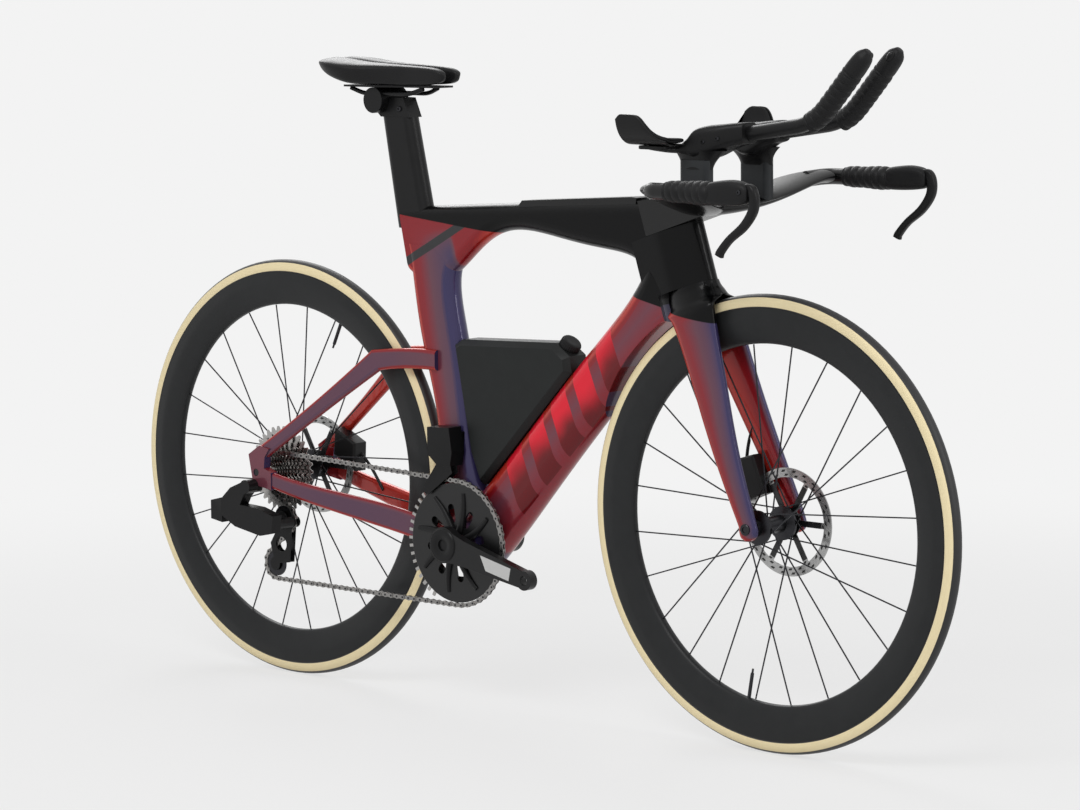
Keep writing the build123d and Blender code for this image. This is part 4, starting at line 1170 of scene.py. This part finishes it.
VALVE_FOOT = 264
VALVE = [(-44, 0.02), (-44, 1.6), (-38, 1.7), (-37, 2.7), (2, 2.8)]
for end, ahead, degrees in (("front", WHEELBASE, -100), ("rear", 0.0, 65)):
    out = np.array([np.cos(np.radians(degrees)), 0, np.sin(np.radians(degrees))])
    stem = turned_part(np.array([ahead, 0, 0]) + out * VALVE_FOOT, out, VALVE, 16)
    piece(end + "_valve", [stem], dark_alloy, end + "_wheel", (), 35)

# %% [markdown]
# The studio
#
# The photograph's ground and background are one pale grey. A plain floor lit by the same lamps
# as the bike would show its own shading, so what the camera sees of it is mostly its own colour,
# with enough of the lit floor mixed in to keep the bike's soft shadow.

# %% Floor and backdrop light
PALE = linear(243, 243, 243)
FLOOR_HALF = 20.0
AIR_LEVEL = 0.45


def looking_rays(tree):
    """One for rays that come from the camera, a mirror or glass, and nought for the light's own."""
    path = tree.nodes.new("ShaderNodeLightPath")
    seen = path.outputs["Is Camera Ray"]
    for kind in ("Is Glossy Ray", "Is Transmission Ray"):
        either = tree.nodes.new("ShaderNodeMath")
        either.operation = "MAXIMUM"
        tree.links.new(seen, either.inputs[0])
        tree.links.new(path.outputs[kind], either.inputs[1])
        seen = either.outputs[0]
    return seen


def put_mix(tree, factor, first, second):
    """Mixes two shaders and sends the mix to the output that the tree has."""
    mixer = tree.nodes.new("ShaderNodeMixShader")
    for number, socket in enumerate((factor, first, second)):
        tree.links.new(socket, mixer.inputs[number])
    output = next(n for n in tree.nodes if n.type.startswith("OUTPUT"))
    tree.links.new(mixer.outputs[0], output.inputs["Surface"])


def make_floor():
    """One large square at the height of the tyres' lowest points."""
    mesh = bpy.data.meshes.new("studio_floor")
    corners = ((-1, -1), (1, -1), (1, 1), (-1, 1))
    mesh.from_pydata([(x * FLOOR_HALF, y * FLOOR_HALF, floor_height) for x, y in corners], [], [(0, 1, 2, 3)])
    floor = bpy.data.objects.new("studio_floor", mesh)
    bpy.context.scene.collection.objects.link(floor)
    finish = Finish("studio_floor", (0.8, 0.8, 0.8), 0.9)
    glow = finish.tree.nodes.new("ShaderNodeEmission")
    glow.inputs["Color"].default_value = (*PALE, 1)
    x, y, _ = finish.axes(finish.place)
    far = ((x - 0.3) * (x - 0.3) + y * y).root().ramp(1.2, 2.6)
    factor = Value(finish, looking_rays(finish.tree)) * (far * 0.28 + 0.72)
    put_mix(finish.tree, factor.socket, finish.shader.outputs[0], glow.outputs[0])
    mesh.materials.append(finish.material)


def make_world():
    """An even grey light all round, seen by the camera and in reflections as the pale backdrop."""
    world = bpy.data.worlds.new("studio_air")
    bpy.context.scene.world = world
    world.use_nodes = True
    tree = world.node_tree
    soft = tree.nodes["Background"]
    soft.inputs["Color"].default_value = (1, 1, 1, 1)
    soft.inputs["Strength"].default_value = AIR_LEVEL
    pale = tree.nodes.new("ShaderNodeBackground")
    pale.inputs["Color"].default_value = (*PALE, 1)
    put_mix(tree, looking_rays(tree), soft.outputs[0], pale.outputs[0])


make_floor()
make_world()
print("floor", 2 * FLOOR_HALF, "m wide, air at", AIR_LEVEL)

# %% Lamps


def softbox(name, place, target, size, watts):
    """A flat lamp of the given width and height that looks at a target."""
    lamp = bpy.data.lights.new(name, "AREA")
    lamp.shape = "RECTANGLE"
    lamp.size, lamp.size_y = size
    lamp.energy = watts
    box = bpy.data.objects.new(name, lamp)
    bpy.context.scene.collection.objects.link(box)
    toward = (Vector(target) - Vector(place)).normalized()
    box.matrix_world = Matrix.Translation(place) @ toward.to_track_quat("-Z", "Y").to_matrix().to_4x4()
    print(name, watts, "W")


softbox("key_box", (1.2, -3.0, 2.6), (0.3, 0, -0.4), (2.4, 1.6), 70)
softbox("nose_box", (4.2, 0.6, 1.2), (0.4, 0, -0.3), (0.8, 2.4), 30)
softbox("back_box", (-2.5, 2.0, 1.8), (0.3, 0, -0.3), (1.6, 2.0), 40)
